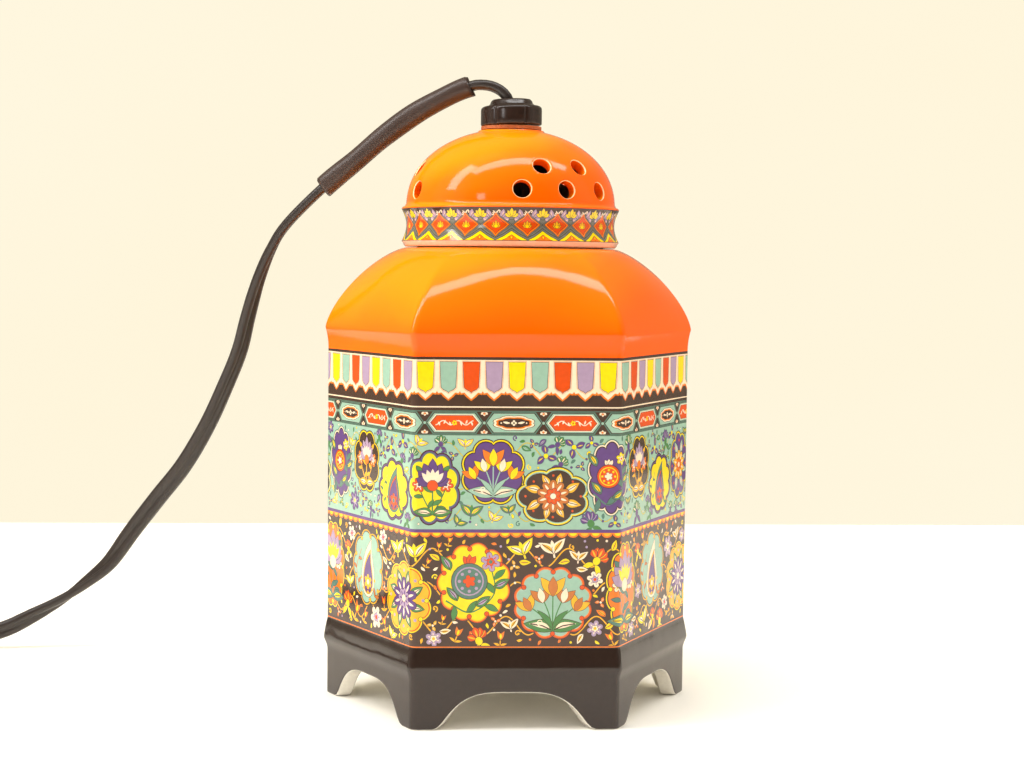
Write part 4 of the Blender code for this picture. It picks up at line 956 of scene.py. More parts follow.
def upper_field(sheet):
    """Purple, yellow and dark fields on pale green, among purple, green and yellow foliage."""
    sheet.band = (UPPER_LOW - 0.6, UPPER_HIGH + 0.3)
    sheet.strip(UPPER_LOW - 1.0, UPPER_HIGH + 0.4, "mint")
    kinds = [
        ("yellow", 7.0, 9.6, -1.7, ("brown", "purple", "teal"), 9, ("purple", "red", "cream", "green"),
         bouquet),
        ("purple", 8.3, 8.6, 2.7, ("brown", "yellow", "brown"), 8, ("tangerine", "yellow", "cream", "mint"),
         tulips),
        ("brown", 9.6, 7.4, -4.0, ("brown", "yellow", "mint"), 7, ("tawny", "red", "cream", "gold"), rosette),
        ("purple", 6.2, 9.8, 1.2, ("teal", "cream", "brown"), 10, ("red", "cream", "yellow", "teal"), fruit),
        ("brown", 7.2, 8.4, 3.0, ("brown", "yellow", "brown"), 8,
         ("lavender", "tangerine", "cream", "gold"), bouquet),
        ("yellow", 8.0, 8.0, -3.4, ("brown", "purple", "brown"), 9, ("teal", "purple", "red", "green"),
         boteh),
        ("purple", 7.0, 9.4, 0.6, ("brown", "yellow", "teal"), 9, ("gold", "red", "cream", "mint"), rosette),
    ]
    middle = (UPPER_LOW + UPPER_HIGH) / 2
    fields = set_out(sheet, kinds, UPPER_FIELDS, 5.4, 0.5, middle)
    ovals = [field[:3] for field in fields]
    vines(sheet, middle, 2.2, 30, ((0.0, 8.6), (np.pi, -8.8), (1.2, 0.0)), (("teal", 0.34), ("yellow", 0.16)))
    for place, size in packed(sheet.length, UPPER_LOW, UPPER_HIGH, ovals,
                              ((2.9, 500), (2.0, 1500), (1.3, 3000), (0.75, 4500))):
        turn = RNG.uniform(0.0, 2 * math.pi)
        upright = np.pi / 2 + RNG.uniform(-0.7, 0.7)
        kind = RNG.random()
        if size > 1.9:
            if kind < 0.36:
                carnation(sheet, place - 0.3j * size, size * 1.25, upright,
                          RNG.choice([("purple", "lavender", "green"), ("green", "cream", "purple")]), "teal")
            elif kind < 0.62:
                trefoil(sheet, place, size * 1.12, turn, "purple", "yellow", "teal")
            elif kind < 0.84:
                twin_leaves(sheet, place, size * 0.95, upright,
                            RNG.choice([("yellow", "cream"), ("green", "yellow")]), "purple")
            else:
                round_flower(sheet, place, size, turn, ("purple", "lavender", "yellow"), "teal")
        elif size > 1.1:
            if kind < 0.4:
                trefoil(sheet, place, size * 1.15, turn, RNG.choice(["purple", "purple", "green"]),
                        "yellow", "teal")
            elif kind < 0.7:
                veined_leaf(sheet, place - size * np.exp(1j * turn), 2.1 * size, turn,
                            RNG.choice([("yellow", "cream"), ("green", "mint"), ("purple", "lavender")]),
                            "teal")
            else:
                scroll(sheet, place, size * 0.62, turn, RNG.choice([1, -1]),
                       RNG.choice(["yellow", "purple", "teal"]), 0.34)
        elif kind < 0.6:
            leaf(sheet, place - 0.8 * size * np.exp(1j * turn), 1.9 * size, turn,
                 RNG.choice(["purple", "yellow", "green", "teal"]), "teal", 0.3, 0.5)
        else:
            sheet.edged(place + disc(0.42 * size, 7), RNG.choice(["yellow", "cream", "purple"]), "teal", 0.1)
    for centre, across, up, ground, rims, lobes, colours, spray in fields:
        medallion(sheet, centre, across, up, ground, rims, lobes)
        spray(sheet, centre, across * 0.95, up * 0.93, colours)


def middle_line(sheet):
    """The purple line with scallops under it that parts the two fields."""
    sheet.band = (SCALLOP_Z - 1.3, SCALLOP_Z + 1.3)
    sheet.strip(SCALLOP_Z - 1.4, SCALLOP_Z + 1.3, "brown")
    sheet.strip(SCALLOP_Z + 0.2, SCALLOP_Z + 1.05, "purple")
    sheet.strip(SCALLOP_Z - 0.15, SCALLOP_Z + 0.15, "tangerine")
    pitch = sheet.length / SCALLOPS
    arch = np.exp(1j * np.linspace(np.pi, 2 * np.pi, 7))
    for number in range(SCALLOPS):
        centre = pitch * number + SCALLOP_Z * 1j
        sheet.lay(centre + oval(arch, pitch * 0.5, 1.25), "tangerine")
        sheet.lay(centre + oval(arch, pitch * 0.34, 0.75), "yellow" if number % 2 else "gold")


def lower_field(sheet):
    """Yellow, pale green and orange fields on dark brown, among yellow, orange and cream foliage."""
    sheet.band = (BAND_LOW + 0.55, LOWER_HIGH + 0.3)
    sheet.strip(BAND_LOW - 0.2, LOWER_HIGH + 0.3, "brown")
    kinds = [
        ("yellow", 9.6, 10.6, 2.4, ("brown", "red", "gold"), 11, ("teal", "red", "lavender", "green"), fruit),
        ("mint", 10.4, 9.6, -3.2, ("brown", "red", "tangerine"), 12, ("gold", "tawny", "cream", "green"),
         tulips),
        ("tangerine", 7.0, 12.4, 0.6, ("brown", "yellow", "brown"), 12,
         ("lavender", "cream", "yellow", "teal"), bouquet),
        ("mint", 8.8, 10.4, 2.8, ("brown", "gold", "brown"), 9, ("cream", "purple", "gold", "tawny"), boteh),
        ("gold", 9.4, 9.8, -2.6, ("brown", "yellow", "red"), 10, ("purple", "lavender", "cream", "green"),
         rosette),
    ]
    middle = (LOWER_LOW + LOWER_HIGH) / 2
    fields = set_out(sheet, kinds, LOWER_FIELDS, 17.0, 0.6, middle)
    ovals = [field[:3] for field in fields]
    vines(sheet, middle, 2.6, 26, ((0.6, 9.4), (2.9, -9.6), (1.4, 0.0)), (("gold", 0.34),))
    for place, size in packed(sheet.length, LOWER_LOW, LOWER_HIGH, ovals,
                              ((3.3, 500), (2.3, 1500), (1.5, 3000), (0.85, 5000))):
        turn = RNG.uniform(0.0, 2 * math.pi)
        upright = np.pi / 2 + RNG.uniform(-0.5, 0.5)
        kind = RNG.random()
        if size > 2.2:
            if kind < 0.3:
                twin_leaves(sheet, place, size, upright,
                            RNG.choice([("yellow", "cream"), ("cream", "gold")]), "brown")
            elif kind < 0.56:
                flower_bud(sheet, place, size, upright,
                           RNG.choice([("red", "gold", "gold"), ("tangerine", "yellow", "gold")]), "brown")
            elif kind < 0.76:
                round_flower(sheet, place, size, turn, RNG.choice([("lavender", "cream", "gold"),
                                                                   ("cream", "lavender", "red")]), "brown")
            else:
                carnation(sheet, place - 0.3j * size, size * 1.2, upright, ("red", "gold", "yellow"), "brown")
        elif size > 1.3:
            if kind < 0.3:
                flower_bud(sheet, place, size, upright, ("tangerine", "yellow", "gold"), "brown")
            elif kind < 0.6:
                veined_leaf(sheet, place - size * np.exp(1j * turn), 2.1 * size, turn,
                            RNG.choice([("yellow", "gold"), ("cream", "gold"), ("tangerine", "gold")]),
                            "brown")
            elif kind < 0.8:
                trefoil(sheet, place, size * 1.1, turn, RNG.choice(["tangerine", "lavender", "gold"]),
                        "cream", "brown")
            else:
                scroll(sheet, place, size * 0.62, turn, RNG.choice([1, -1]), RNG.choice(["yellow", "gold"]),
                       0.38)
        elif kind < 0.65:
            leaf(sheet, place - 0.8 * size * np.exp(1j * turn), 1.9 * size, turn,
                 RNG.choice(["yellow", "gold", "tangerine", "cream"]), "brown", 0.3, 0.5)
        else:
            sheet.lay(place + disc(0.42 * size, 7), RNG.choice(["yellow", "cream", "tangerine", "lavender"]))
    for centre, across, up, ground, rims, lobes, colours, spray in fields:
        medallion(sheet, centre, across, up, ground, rims, lobes, 0.13)
        for number in range(lobes):
            notch = centre + oval(np.exp(2j * np.pi * number / lobes), across, up) * 0.9
            sheet.edged(notch + disc(0.62, 8), rims[1], "brown", 0.14)
        spray(sheet, centre, across * 0.95, up * 0.95, colours)
    sheet.band = (BAND_LOW - 1, BAND_LOW + 1)
    sheet.strip(BAND_LOW - 0.2, BAND_LOW + 0.28, "tangerine")
    sheet.strip(BAND_LOW + 0.28, BAND_LOW + 0.55, "brown")


def jar_sheet():
    sheet = Sheet(ROUND_LENGTH)
    lower_field(sheet)
    middle_line(sheet)
    upper_field(sheet)
    cartouche_band(sheet)
    pennant_band(sheet)
    return sheet


# Jar

def arch_heights(columns):
    """How high the foot arches stand above the surface at each distance round the wall."""
    curve = smooth([x + 1j * y for x, y in reversed(ARCH_SHARES)], 8)
    heights = np.zeros(len(columns))
    middles = [(end + start) / 2 for (_, end), (start, _) in zip(ROUND_CORNERS, ROUND_CORNERS[1:])]
    middles += [0.0, ROUND_LENGTH]
    lengths = [abs(plan([end])[0] - plan([start])[0]) + 2 * CORNER_RADIUS * math.tan(math.pi / 6)
               for (_, end), (start, _) in zip(ROUND_CORNERS, ROUND_CORNERS[1:])]
    lengths += [2 * FRONT_HALF, 2 * FRONT_HALF]
    for middle, length in zip(middles, lengths):
        share = np.abs(columns - middle) / (length / 2 - FOOT_WIDTH)
        heights = np.maximum(heights, ARCH_RISE * np.interp(share, curve.real, curve.imag, right=0.0))
    return heights


def base_offset(height):
    """How far the base moulding stands out of the wall."""
    if height >= BULGE_TOP_Z or height <= APRON_Z:
        return 0.0
    if height >= BULGE_Z:
        return BULGE_OUT * (1 - ((height - BULGE_Z) / (BULGE_TOP_Z - BULGE_Z)) ** 1.3)
    return BULGE_OUT * smooth_step((height - APRON_Z) / (BULGE_Z - APRON_Z)) ** 1.6


def jar_below(columns, flat):
    """Rows from the bottom of the artwork down the base, round the arch edges and in under the floor."""
    rise = arch_heights(columns)
    rows = [level(flat, BAND_LOW)]
    colours = []

    def add(out, heights, colour):
        rows.append(level(flat * (1 + out / HALF_DEPTH), heights))
        colours.append(colour)

    for height in (23.05, 22.9, 22.0, 21.0, 20.0, 19.0, 18.2, 17.6, 17.3, 17.0, 16.6, 16.0, 15.0, 14.0, 13.4,
                   13.0, 12.6):
        add(base_offset(height), height, "black")
    for step in range(1, 11):
        share = step / 10
        add(0.0, 12.6 + (rise + EDGE_ROUND - 12.6) * share, "black")
    for step in range(1, 6):
        angle = math.pi / 2 * step / 5
        add(-EDGE_ROUND * (1 - math.cos(angle)), rise + EDGE_ROUND * (1 - math.sin(angle)),
            "black" if step < 3 else "white")
    add(-EDGE_ROUND - 0.5, rise, "white")
    add(-APRON_WALL + EDGE_ROUND, rise, "white")
    for step in range(1, 4):
        angle = math.pi / 2 * step / 3
        add(-APRON_WALL + EDGE_ROUND * (1 - math.sin(angle)), rise + EDGE_ROUND * (1 - math.cos(angle)),
            "white")
    low = rise + EDGE_ROUND
    for share in (0.3, 0.6, 1.0):
        add(-APRON_WALL, low + (RECESS_Z - 0.4 - low) * share, "white")
    for out in (-APRON_WALL - 0.6, -APRON_WALL - 2.0, -HALF_DEPTH * 0.5):
        add(out, RECESS_Z, "white")
    add(-HALF_DEPTH, RECESS_Z, "white")
    return rows, colours


def shoulder_row(flat, radius, roundness, height):
    hexagon = flat * radius / HALF_WIDTH
    circle = flat / np.abs(flat) * radius
    return level(hexagon + (circle - hexagon) * roundness, height)


def jar_above(flat):
    """Rows from the top of the artwork over the shoulder and down the inside to the floor."""
    rows = [level(flat, BAND_HIGH)]
    colours = []

    def add(row, colour):
        rows.append(row)
        colours.append(colour)

    for step in range(1, 9):
        share = step / 8
        add(level(flat * (1 + CREASE_OUT * share ** 2 / HALF_DEPTH),
                  BAND_HIGH + (CREASE_Z - BAND_HIGH) * share), "orange")
    crease = HALF_WIDTH * (1 + CREASE_OUT / HALF_DEPTH)
    steps = 46
    for number, (out, up) in enumerate(power_arc(crease - SHOULDER_RADIUS, SEAT_Z - CREASE_Z,
                                                 SHOULDER_POWER, steps)):
        if number:
            add(shoulder_row(flat, SHOULDER_RADIUS + out, smooth_step(number / steps), CREASE_Z + up),
                "orange")
    ring = flat / np.abs(flat)
    for radius, height in ((COLLAR_RADIUS + 0.4, SEAT_Z), (COLLAR_RADIUS, SEAT_Z + 0.4),
                           (COLLAR_RADIUS, COLLAR_TOP_Z - 0.7), (COLLAR_RADIUS - 0.7, COLLAR_TOP_Z),
                           (BORE_RADIUS + 0.6, COLLAR_TOP_Z), (BORE_RADIUS, COLLAR_TOP_Z - 0.6)):
        add(level(ring * radius, height), "white")
    inside = HALF_WIDTH - WALL / math.cos(math.pi / 6)
    drop = WALL * 2 / 3
    arc = power_arc(inside - BORE_RADIUS, SEAT_Z - CREASE_Z - drop, SHOULDER_POWER, 16)
    for number, (out, up) in reversed(list(enumerate(arc))):
        add(shoulder_row(flat, BORE_RADIUS + out, smooth_step(number / 16), CREASE_Z - drop / 2 + up),
            "white")
    for radius, height in ((inside, BAND_HIGH), (inside, FLOOR_Z + 2.4), (inside - 0.7, FLOOR_Z + 0.7),
                           (inside - 2.4, FLOOR_Z), (inside / 2, FLOOR_Z), (0.0, FLOOR_Z)):
        add(level(flat * radius / HALF_WIDTH, height), "white")
    return rows, colours


def jar():
    columns = COLUMNS[:-1]
    flat = plan(columns)
    body = Body()
    body.rows(*jar_above(flat))
    body.rows(*jar_below(columns, flat))
    points, faces, finish = cut_sheet(jar_sheet(), BAND_LOW, BAND_HIGH, BENDS, [], COLUMNS)
    wall = plan(np.clip(points.real, 0.0, ROUND_LENGTH))
    body.add(level(wall, points.imag), faces, finish)
    return dressed(body.build("porcelain_jar", FINISHES), "jar_body", "porcelain_jar", "jar")


def dressed(piece, body, slot, *nodes):
    """The piece rides on a body and stands for the CAD nodes, which it hides; the slot argument is not used.
    """
    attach(piece, body)
    if nodes:
        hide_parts(*nodes)
    return piece


# Lid

def lid_band_radius(height):
    share = (height - LID_BAND_LOW) / (LID_BAND_HIGH - LID_BAND_LOW)
    return LID_BAND_RADIUS - LID_WAIST * np.sin(np.pi * np.clip(share, 0.0, 1.0))


def lid_sheet():
    """Ogee diamonds over pointed arches, with tulips and small scrolls along a dark upper edge."""
    sheet = Sheet(2 * math.pi * LID_BAND_RADIUS)
    low, high = LID_BAND_LOW, LID_BAND_HIGH
    sheet.strip(low - 1, high + 1, "grey")
    pitch = sheet.length / LID_REPEATS
    sheet.strip(high - 2.1, high + 1, "brown")
    ogee = [(0.0, -1.0), (0.26, -0.66), (0.66, -0.34), (1.0, 0.0), (0.66, 0.3), (0.26, 0.62), (0.0, 1.0)]
    ogee = np.array([x + 1j * y for x, y in ogee] + [-x + 1j * y for x, y in reversed(ogee[1:-1])])
    arch = np.array([-0.5 * pitch - 1.4j, 0.5 * pitch - 1.4j, 0.5 * pitch - 0.2j, 0.26 * pitch + 0.9j, 2.5j,
                     -0.26 * pitch + 0.9j, -0.5 * pitch - 0.2j])
    for number in range(LID_REPEATS):
        centre = pitch * (number + 0.35) + 1j * (low + 4.6)
        for side in (1, -1):
            for turn, length in ((0.35, 3.5), (0.85, 3.3), (1.35, 2.6)):
                sheet.edged(placed(petal(length, 1.7, 0.1 * side, 1.2, 7), centre + side * 1.5 + 0.9j,
                                   np.pi / 2 - side * turn), "lavender", "brown", 0.14)
                sheet.lay(placed(petal(length * 0.7, 0.4, 0.1 * side, 1.2, 5) + 0.6,
                                 centre + side * 1.5 + 0.9j,
                                 np.pi / 2 - side * turn), "rim")
        for width, colour in ((4.75, "brown"), (4.6, "grey"), (4.15, "brown")):
            sheet.lay(centre + oval(ogee, width, width * 0.85), colour)
        sheet.lay(centre + oval(ogee, 3.95, 3.35), "tangerine")
        sheet.lay(centre + oval(ogee, 3.3, 2.75), "brown")
        sheet.lay(centre + oval(ogee, 3.15, 2.6), "red")
        for turn in (-1.15, 1.15, -0.6, 0.6, 0.0):
            sheet.edged(placed(petal(1.9 - 0.35 * abs(turn), 0.85, 0.0, 0.9, 7), centre - 0.75j,
                               np.pi / 2 + turn), "gold", "brown", 0.1)
        sheet.lay(centre - 0.5j + oval(disc(1.0, 9), 0.5, 0.42), "yellow")
    for number in range(LID_REPEATS):
        between = pitch * (number + 0.85)
        spot = between + 1j * low
        for rise, colour in ((1.15, "brown"), (0.98, "grey"), (0.45, "brown"), (0.28, "yellow")):
            sheet.lay(spot + arch + rise * 1j, colour)
        sheet.edged(spot + oval(arch, 0.56, 0.6) + 0.2j, "tangerine", "brown", 0.12)
        for side in (1, -1):
            sheet.lay(placed(petal(1.1, 0.45, 0.3 * side, 1.0, 6), spot + 0.35j, np.pi / 2 - 0.8 * side),
                      "red")
        sheet.lay(spot + 0.95j + disc(0.26, 7), "yellow")
        crown = between + 1j * (high - 2.7)
        sheet.edged(crown + oval(disc(1.0, 10), 0.85, 0.6) - 0.2j, "grey", "brown", 0.12)
        for turn in (-1.2, 1.2, -0.6, 0.6, 0.0):
            sheet.edged(placed(petal(2.1 if turn else 2.4, 1.05, 0.0, 1.2, 7), crown, np.pi / 2 + turn),
                        "yellow",
                        "brown", 0.12)
        centre = between - pitch / 2
        for side in (1, -1):
            place = centre + side * 0.95 + 1j * (high - 1.25)
            sheet.line(place + curl(0.42, side, 0.8, 9) - 0.3j, "cream", 0.28)
            sheet.lay(placed(petal(1.05, 0.42, 0.3 * side, 1.0, 5), centre + 1j * (high - 1.7),
                             np.pi / 2 - 1.1 * side), "cream")
    sheet.strip(high - 0.22, high + 1, "brown")
    sheet.strip(low - 1, low + 0.16, "brown")
    return sheet


def vent_cutter():
    """Fifteen drills whose mouths flare, so that each vent has a rounded edge."""
    ring = np.exp(2j * np.pi * np.arange(32) / 32)
    profile = [(VENT_RADIUS, -LID_WALL - 3.0, "orange"), (VENT_RADIUS, -VENT_FLARE - 0.1, "orange")]
    # The last steps of the flare and the lip take the pale thin-glaze enamel, which also paints a highlight
    # ring round each vent.
    for angle in np.linspace(0.0, math.radians(68), 7)[1:]:
        profile.append((VENT_RADIUS + VENT_FLARE * (1 - math.cos(angle)),
                        -VENT_FLARE - 0.1 + VENT_FLARE * math.sin(angle),
                        "thin" if angle > 0.5 else "orange"))
    radius, along, _ = profile[-1]
    profile.append((radius + VENT_LIP, along + 0.75, "thin"))
    profile.append((radius + VENT_LIP, along + 3.0, "thin"))
    body = Body()
    for group in range(3):
        for height, azimuths in VENT_ROWS:
            up = (height - DOME_Z) / DOME_RISE
            radius = DOME_RADIUS * (1 - up ** DOME_POWER) ** (1 / DOME_POWER)
            steep = (radius / DOME_RADIUS) ** (DOME_POWER - 1) / DOME_RADIUS
            rise = math.atan2(up ** (DOME_POWER - 1) / DOME_RISE, steep)
            for offset in azimuths:
                azimuth = math.radians(VENT_FIRST + offset + 120 * group) - math.pi / 2
                turn = Matrix.Rotation(azimuth, 3, "Z") @ Matrix.Rotation(math.pi / 2 - rise, 3, "Y")
                place = Vector((math.cos(azimuth) * radius, math.sin(azimuth) * radius, height))
                rows = []
                for across, along, _ in [(0.0,) + profile[0][1:]] + profile + [(0.0,) + profile[-1][1:]]:
                    points = [turn @ Vector((p.real, p.imag, along)) + place for p in ring * across]
                    rows.append(np.array([tuple(point) for point in points]))
                body.rows(rows, ["orange"] + [colour for _, _, colour in profile[1:]] + ["thin", "thin"])
    cutter = body.build("vent_drills", FINISHES)
    cutter.hide_render = True
    return cutter


def lid():
    ring = 1j * np.exp(2j * np.pi * np.arange(LID_SEGMENTS) / LID_SEGMENTS)
    profile = [(LID_BAND_RADIUS, LID_BAND_HIGH, "orange"),
               (LID_BAND_RADIUS - 0.05, LID_BAND_HIGH + 0.3, "orange"),
               (LID_BAND_RADIUS - 0.3, LID_BAND_HIGH + 0.6, "orange"),
               (DOME_RADIUS + 0.4, DOME_Z - 0.15, "orange")]
    for out, up in power_arc(DOME_RADIUS, DOME_RISE, DOME_POWER, 60):
        if up > 0.4 and out > LID_FLAT_RADIUS and DOME_Z + up < LID_TOP_Z:
            profile.append((out, DOME_Z + up, "orange"))
    profile += [(LID_FLAT_RADIUS, LID_TOP_Z, "orange"), (LID_HOLE_RADIUS + 0.4, LID_TOP_Z, "orange"),
                (LID_HOLE_RADIUS, LID_TOP_Z - 0.4, "white"),
                (LID_HOLE_RADIUS, LID_TOP_Z - LID_WALL, "inside"),
                (10.3, LID_TOP_Z - LID_WALL, "inside")]
    inner = [(out, DOME_Z + up) for out, up in power_arc(LID_BORE, DOME_RISE - LID_WALL, DOME_POWER, 24)]
    profile += [(out, up, "inside") for out, up in reversed(inner)
                if out > 10.6 and up < LID_TOP_Z - LID_WALL]
    profile += [(LID_BORE, LID_RIM_Z + 0.3, "white"), (LID_BORE + 0.3, LID_RIM_Z, "rim"),
                (LID_RIM_RADIUS - 0.5, LID_RIM_Z, "rim"), (LID_RIM_RADIUS, LID_RIM_Z + 0.5, "rim"),
                (LID_RIM_RADIUS + 0.25, LID_BAND_LOW - 0.5, "rim"), (LID_BAND_RADIUS, LID_BAND_LOW, "rim")]
    profile.append((LID_BAND_RADIUS, LID_BAND_HIGH, "grey"))
    body = Body()
    body.rows([level(ring * radius, height) for radius, height, _ in profile],
              [colour for _, _, colour in profile[1:]])
    shell = body.build("lid_shell", FINISHES)
    cut = shell.modifiers.new("vents", "BOOLEAN")
    cut.operation = "DIFFERENCE"
    cut.solver = "EXACT"
    cut.object = vent_cutter()
    graph = bpy.context.evaluated_depsgraph_get()
    vented = bpy.data.meshes.new_from_object(shell.evaluated_get(graph))
    bm = bmesh.new()
    bm.from_mesh(vented)
    middle = (LID_BAND_LOW + LID_BAND_HIGH) / 2 * MM
    inner = (LID_BORE + LID_BAND_RADIUS) / 2 * MM
    band = [f for f in bm.faces if abs(f.calc_center_median().z - middle) < MM
            and math.hypot(*f.calc_center_median().xy) > inner]
    bmesh.ops.delete(bm, geom=band, context="FACES")
    sheet = lid_sheet()
    uprights = np.linspace(0.0, sheet.length, LID_SEGMENTS + 1)
    levels = np.linspace(LID_BAND_LOW, LID_BAND_HIGH, 11)[1:-1]
    points, faces, finish = cut_sheet(sheet, LID_BAND_LOW, LID_BAND_HIGH, uprights, levels, uprights)
    wall = 1j * np.exp(2j * np.pi * points.real / sheet.length) * lid_band_radius(points.imag)
    places = level(wall, points.imag) * MM
    corners = [bm.verts.new(place) for place in places.tolist()]
    for face, colour in zip(faces.tolist(), finish):
        made = bm.faces.new([corners[n] for n in face])
        made.material_index = int(colour)
        made.smooth = True
    loose = [v for v in bm.verts if not v.link_faces]
    bmesh.ops.delete(bm, geom=loose, context="VERTS")
    bmesh.ops.remove_doubles(bm, verts=bm.verts, dist=0.0004 * MM)
    bmesh.ops.recalc_face_normals(bm, faces=bm.faces)
    mesh = bpy.data.meshes.new("porcelain_lid")
    bm.to_mesh(mesh)
    bm.free()
    for finish in FINISHES:
        mesh.materials.append(finish)
    mesh.set_sharp_from_angle(angle=math.radians(50))
    for old in (shell, cut.object):
        bpy.data.objects.remove(old, do_unlink=True)
    piece = bpy.data.objects.new("porcelain_lid", mesh)
    bpy.context.scene.collection.objects.link(piece)
    return dressed(piece, "lid_body", "porcelain_lid", "lid")


# Flex

def spread(route, count):
    """Points along a smooth curve through the route's 3D points."""
    route = [Vector(p) for p in route]
    ends = [2 * route[0] - route[1]] + route + [2 * route[-1] - route[-2]]
    line = []
    for a, b, c, d in zip(ends, ends[1:], ends[2:], ends[3:]):
        for part in range(count):
            t = part / count
            line.append(0.5 * (2 * b + (c - a) * t + (2 * a - 5 * b + 4 * c - d) * t ** 2
                               + (3 * b - a - 3 * c + d) * t ** 3))
    return line + [route[-1]]


def even(line, step):
    """The same line with points about a step apart."""
    line = np.array([tuple(p) for p in line])
    lengths = np.concatenate([[0.0], np.cumsum(np.linalg.norm(np.diff(line, axis=0), axis=1))])
    marks = np.linspace(0.0, lengths[-1], round(lengths[-1] / step) + 1)
    return np.stack([np.interp(marks, lengths, line[:, axis]) for axis in range(3)], axis=1)


def coil_direction(angle):
    return Vector((-math.sin(angle), math.cos(angle), 0.0))


def coil_line():
    turns_in_all = COIL_WHOLE_TURNS + (COIL_END - COIL_START) / 360
    inner = COIL_RADIUS - COIL_PITCH * turns_in_all / 2
    start = math.radians(COIL_START)
    count = round(turns_in_all * 72)
    points = []
    for n in range(count + 1):
        turns = turns_in_all * n / count
        from_middle = turns - turns_in_all / 2
        climb = smooth_step(min(1.0, max(0.0, 2 * from_middle + 0.5)))
        angle = start + 2 * math.pi * turns
        radius = inner + COIL_PITCH * abs(from_middle)
        points.append(Vector((COIL_CENTRE.real + radius * math.cos(angle),
                              COIL_CENTRE.imag + radius * math.sin(angle),
                              COIL_LOW_Z + (COIL_HIGH_Z - COIL_LOW_Z) * climb)))
    return points, start, start + 2 * math.pi * turns_in_all


def flex_lines():
    """The free stretch, the coil and the tail, as three lists of 3D points."""
    coil, start, end = coil_line()
    meeting = coil[0] - coil_direction(start) * FLEX_WIDTH
    free = spread(FLEX_ROUTE + [tuple(meeting - coil_direction(start) * 2 * FLEX_WIDTH), tuple(meeting)], 12)
    leaving = coil_direction(end)
    begin = coil[-1] + leaving * FLEX_WIDTH
    finish = Vector((begin.x, begin.y, PLUG_Z)) + leaving * TAIL_LENGTH
    tail = spread([begin, begin + leaving * FLEX_THICKNESS, begin.lerp(finish, 0.5),
                   finish - leaving * FLEX_THICKNESS,
                   finish], 6)
    return free, coil, tail


def flex_section():
    """A twin flex cut across: two round cores and the web between them, as (across, along its thickness)."""
    core = FLEX_THICKNESS / 2
    offset = (FLEX_WIDTH - FLEX_THICKNESS) / 2
    points = []
    for side in (1, -1):
        for angle in np.radians(np.linspace(-150, 150, 13)):
            across, out = offset + core * math.cos(angle), core * math.sin(angle)
            if across < 0.42:
                continue
            points.append((side * across, side * out))
        points.append((0.0, side * FLEX_WEB / 2))
    return points


def sweep(name, line, frames, sizes, section, finish):
    """A solid tube: the section, in each point's own axes and at its size, along a line."""
    body = Body()
    rows = []
    for place, (first, second), size in zip(line, frames, sizes):
        rows.append(np.array([place + (first * x + second * y) * size for x, y in section]))
    rows = [np.repeat(rows[0].mean(axis=0)[None], len(section), axis=0)] + rows
    rows += [np.repeat(rows[-1].mean(axis=0)[None], len(section), axis=0)]
    body.rows(rows, ["black"] * (len(rows) - 1))
    return body.build_plain(name, finish)


def line_frames(line, twist):
    """Two axes across a line at each point: the first lies nearest to Y, turned by the twist in degrees."""
    along = np.gradient(line, axis=0)
    along /= np.linalg.norm(along, axis=1)[:, None]
    frames = []
    for direction, turn in zip(along, np.radians(twist)):
        side = np.array([0.0, 1.0, 0.0]) - direction * direction[1]
        side /= np.linalg.norm(side)
        other = np.cross(direction, side)
        frames.append((side * math.cos(turn) + other * math.sin(turn),
                       other * math.cos(turn) - side * math.sin(turn)))
    return frames


def upright_frames(line):
    along = np.gradient(line, axis=0)
    along /= np.linalg.norm(along, axis=1)[:, None]
    frames = []
    for direction in along:
        up = np.array([0.0, 0.0, 1.0]) - direction * direction[2]
        up /= np.linalg.norm(up)
        frames.append((up, np.cross(direction, up)))
    return frames


def flex(finish, sleeve_finish):
    free, coil, tail = flex_lines()
    free = even(free, 1.5)
    rest = even(coil + tail, 1.9)
    share = np.linspace(0.0, 1.0, len(free))
    twist = np.interp(share, [at for at, _ in FLEX_TWISTS], [turn for _, turn in FLEX_TWISTS])
    line = np.concatenate([free, rest])
    frames = line_frames(free, twist)
    join = np.array(frames[-1][0])
    frames += [(a * np.sign(join[2]), b * np.sign(join[2])) for a, b in upright_frames(rest)]
    sizes = np.interp(np.arange(len(line)), [0.9 * len(free), len(free)], [FLEX_SWELL, 1.0])
    piece = sweep("flex", line, frames, sizes, flex_section(), finish)
    length = float(np.linalg.norm(np.diff(line, axis=0), axis=1).sum())
    print("flex length on its route: %.1f mm" % length)
    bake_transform(piece)
    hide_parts("flex_free", "flex_coil", "flex_tail")
    nodes = frame["nodes"]
    carried = [sleeve(free, sleeve_finish)]
    carried += [nodes[n] for n in ("coil_tie", "plug_body", "plug_blade_live", "plug_blade_neutral")]
    return piece


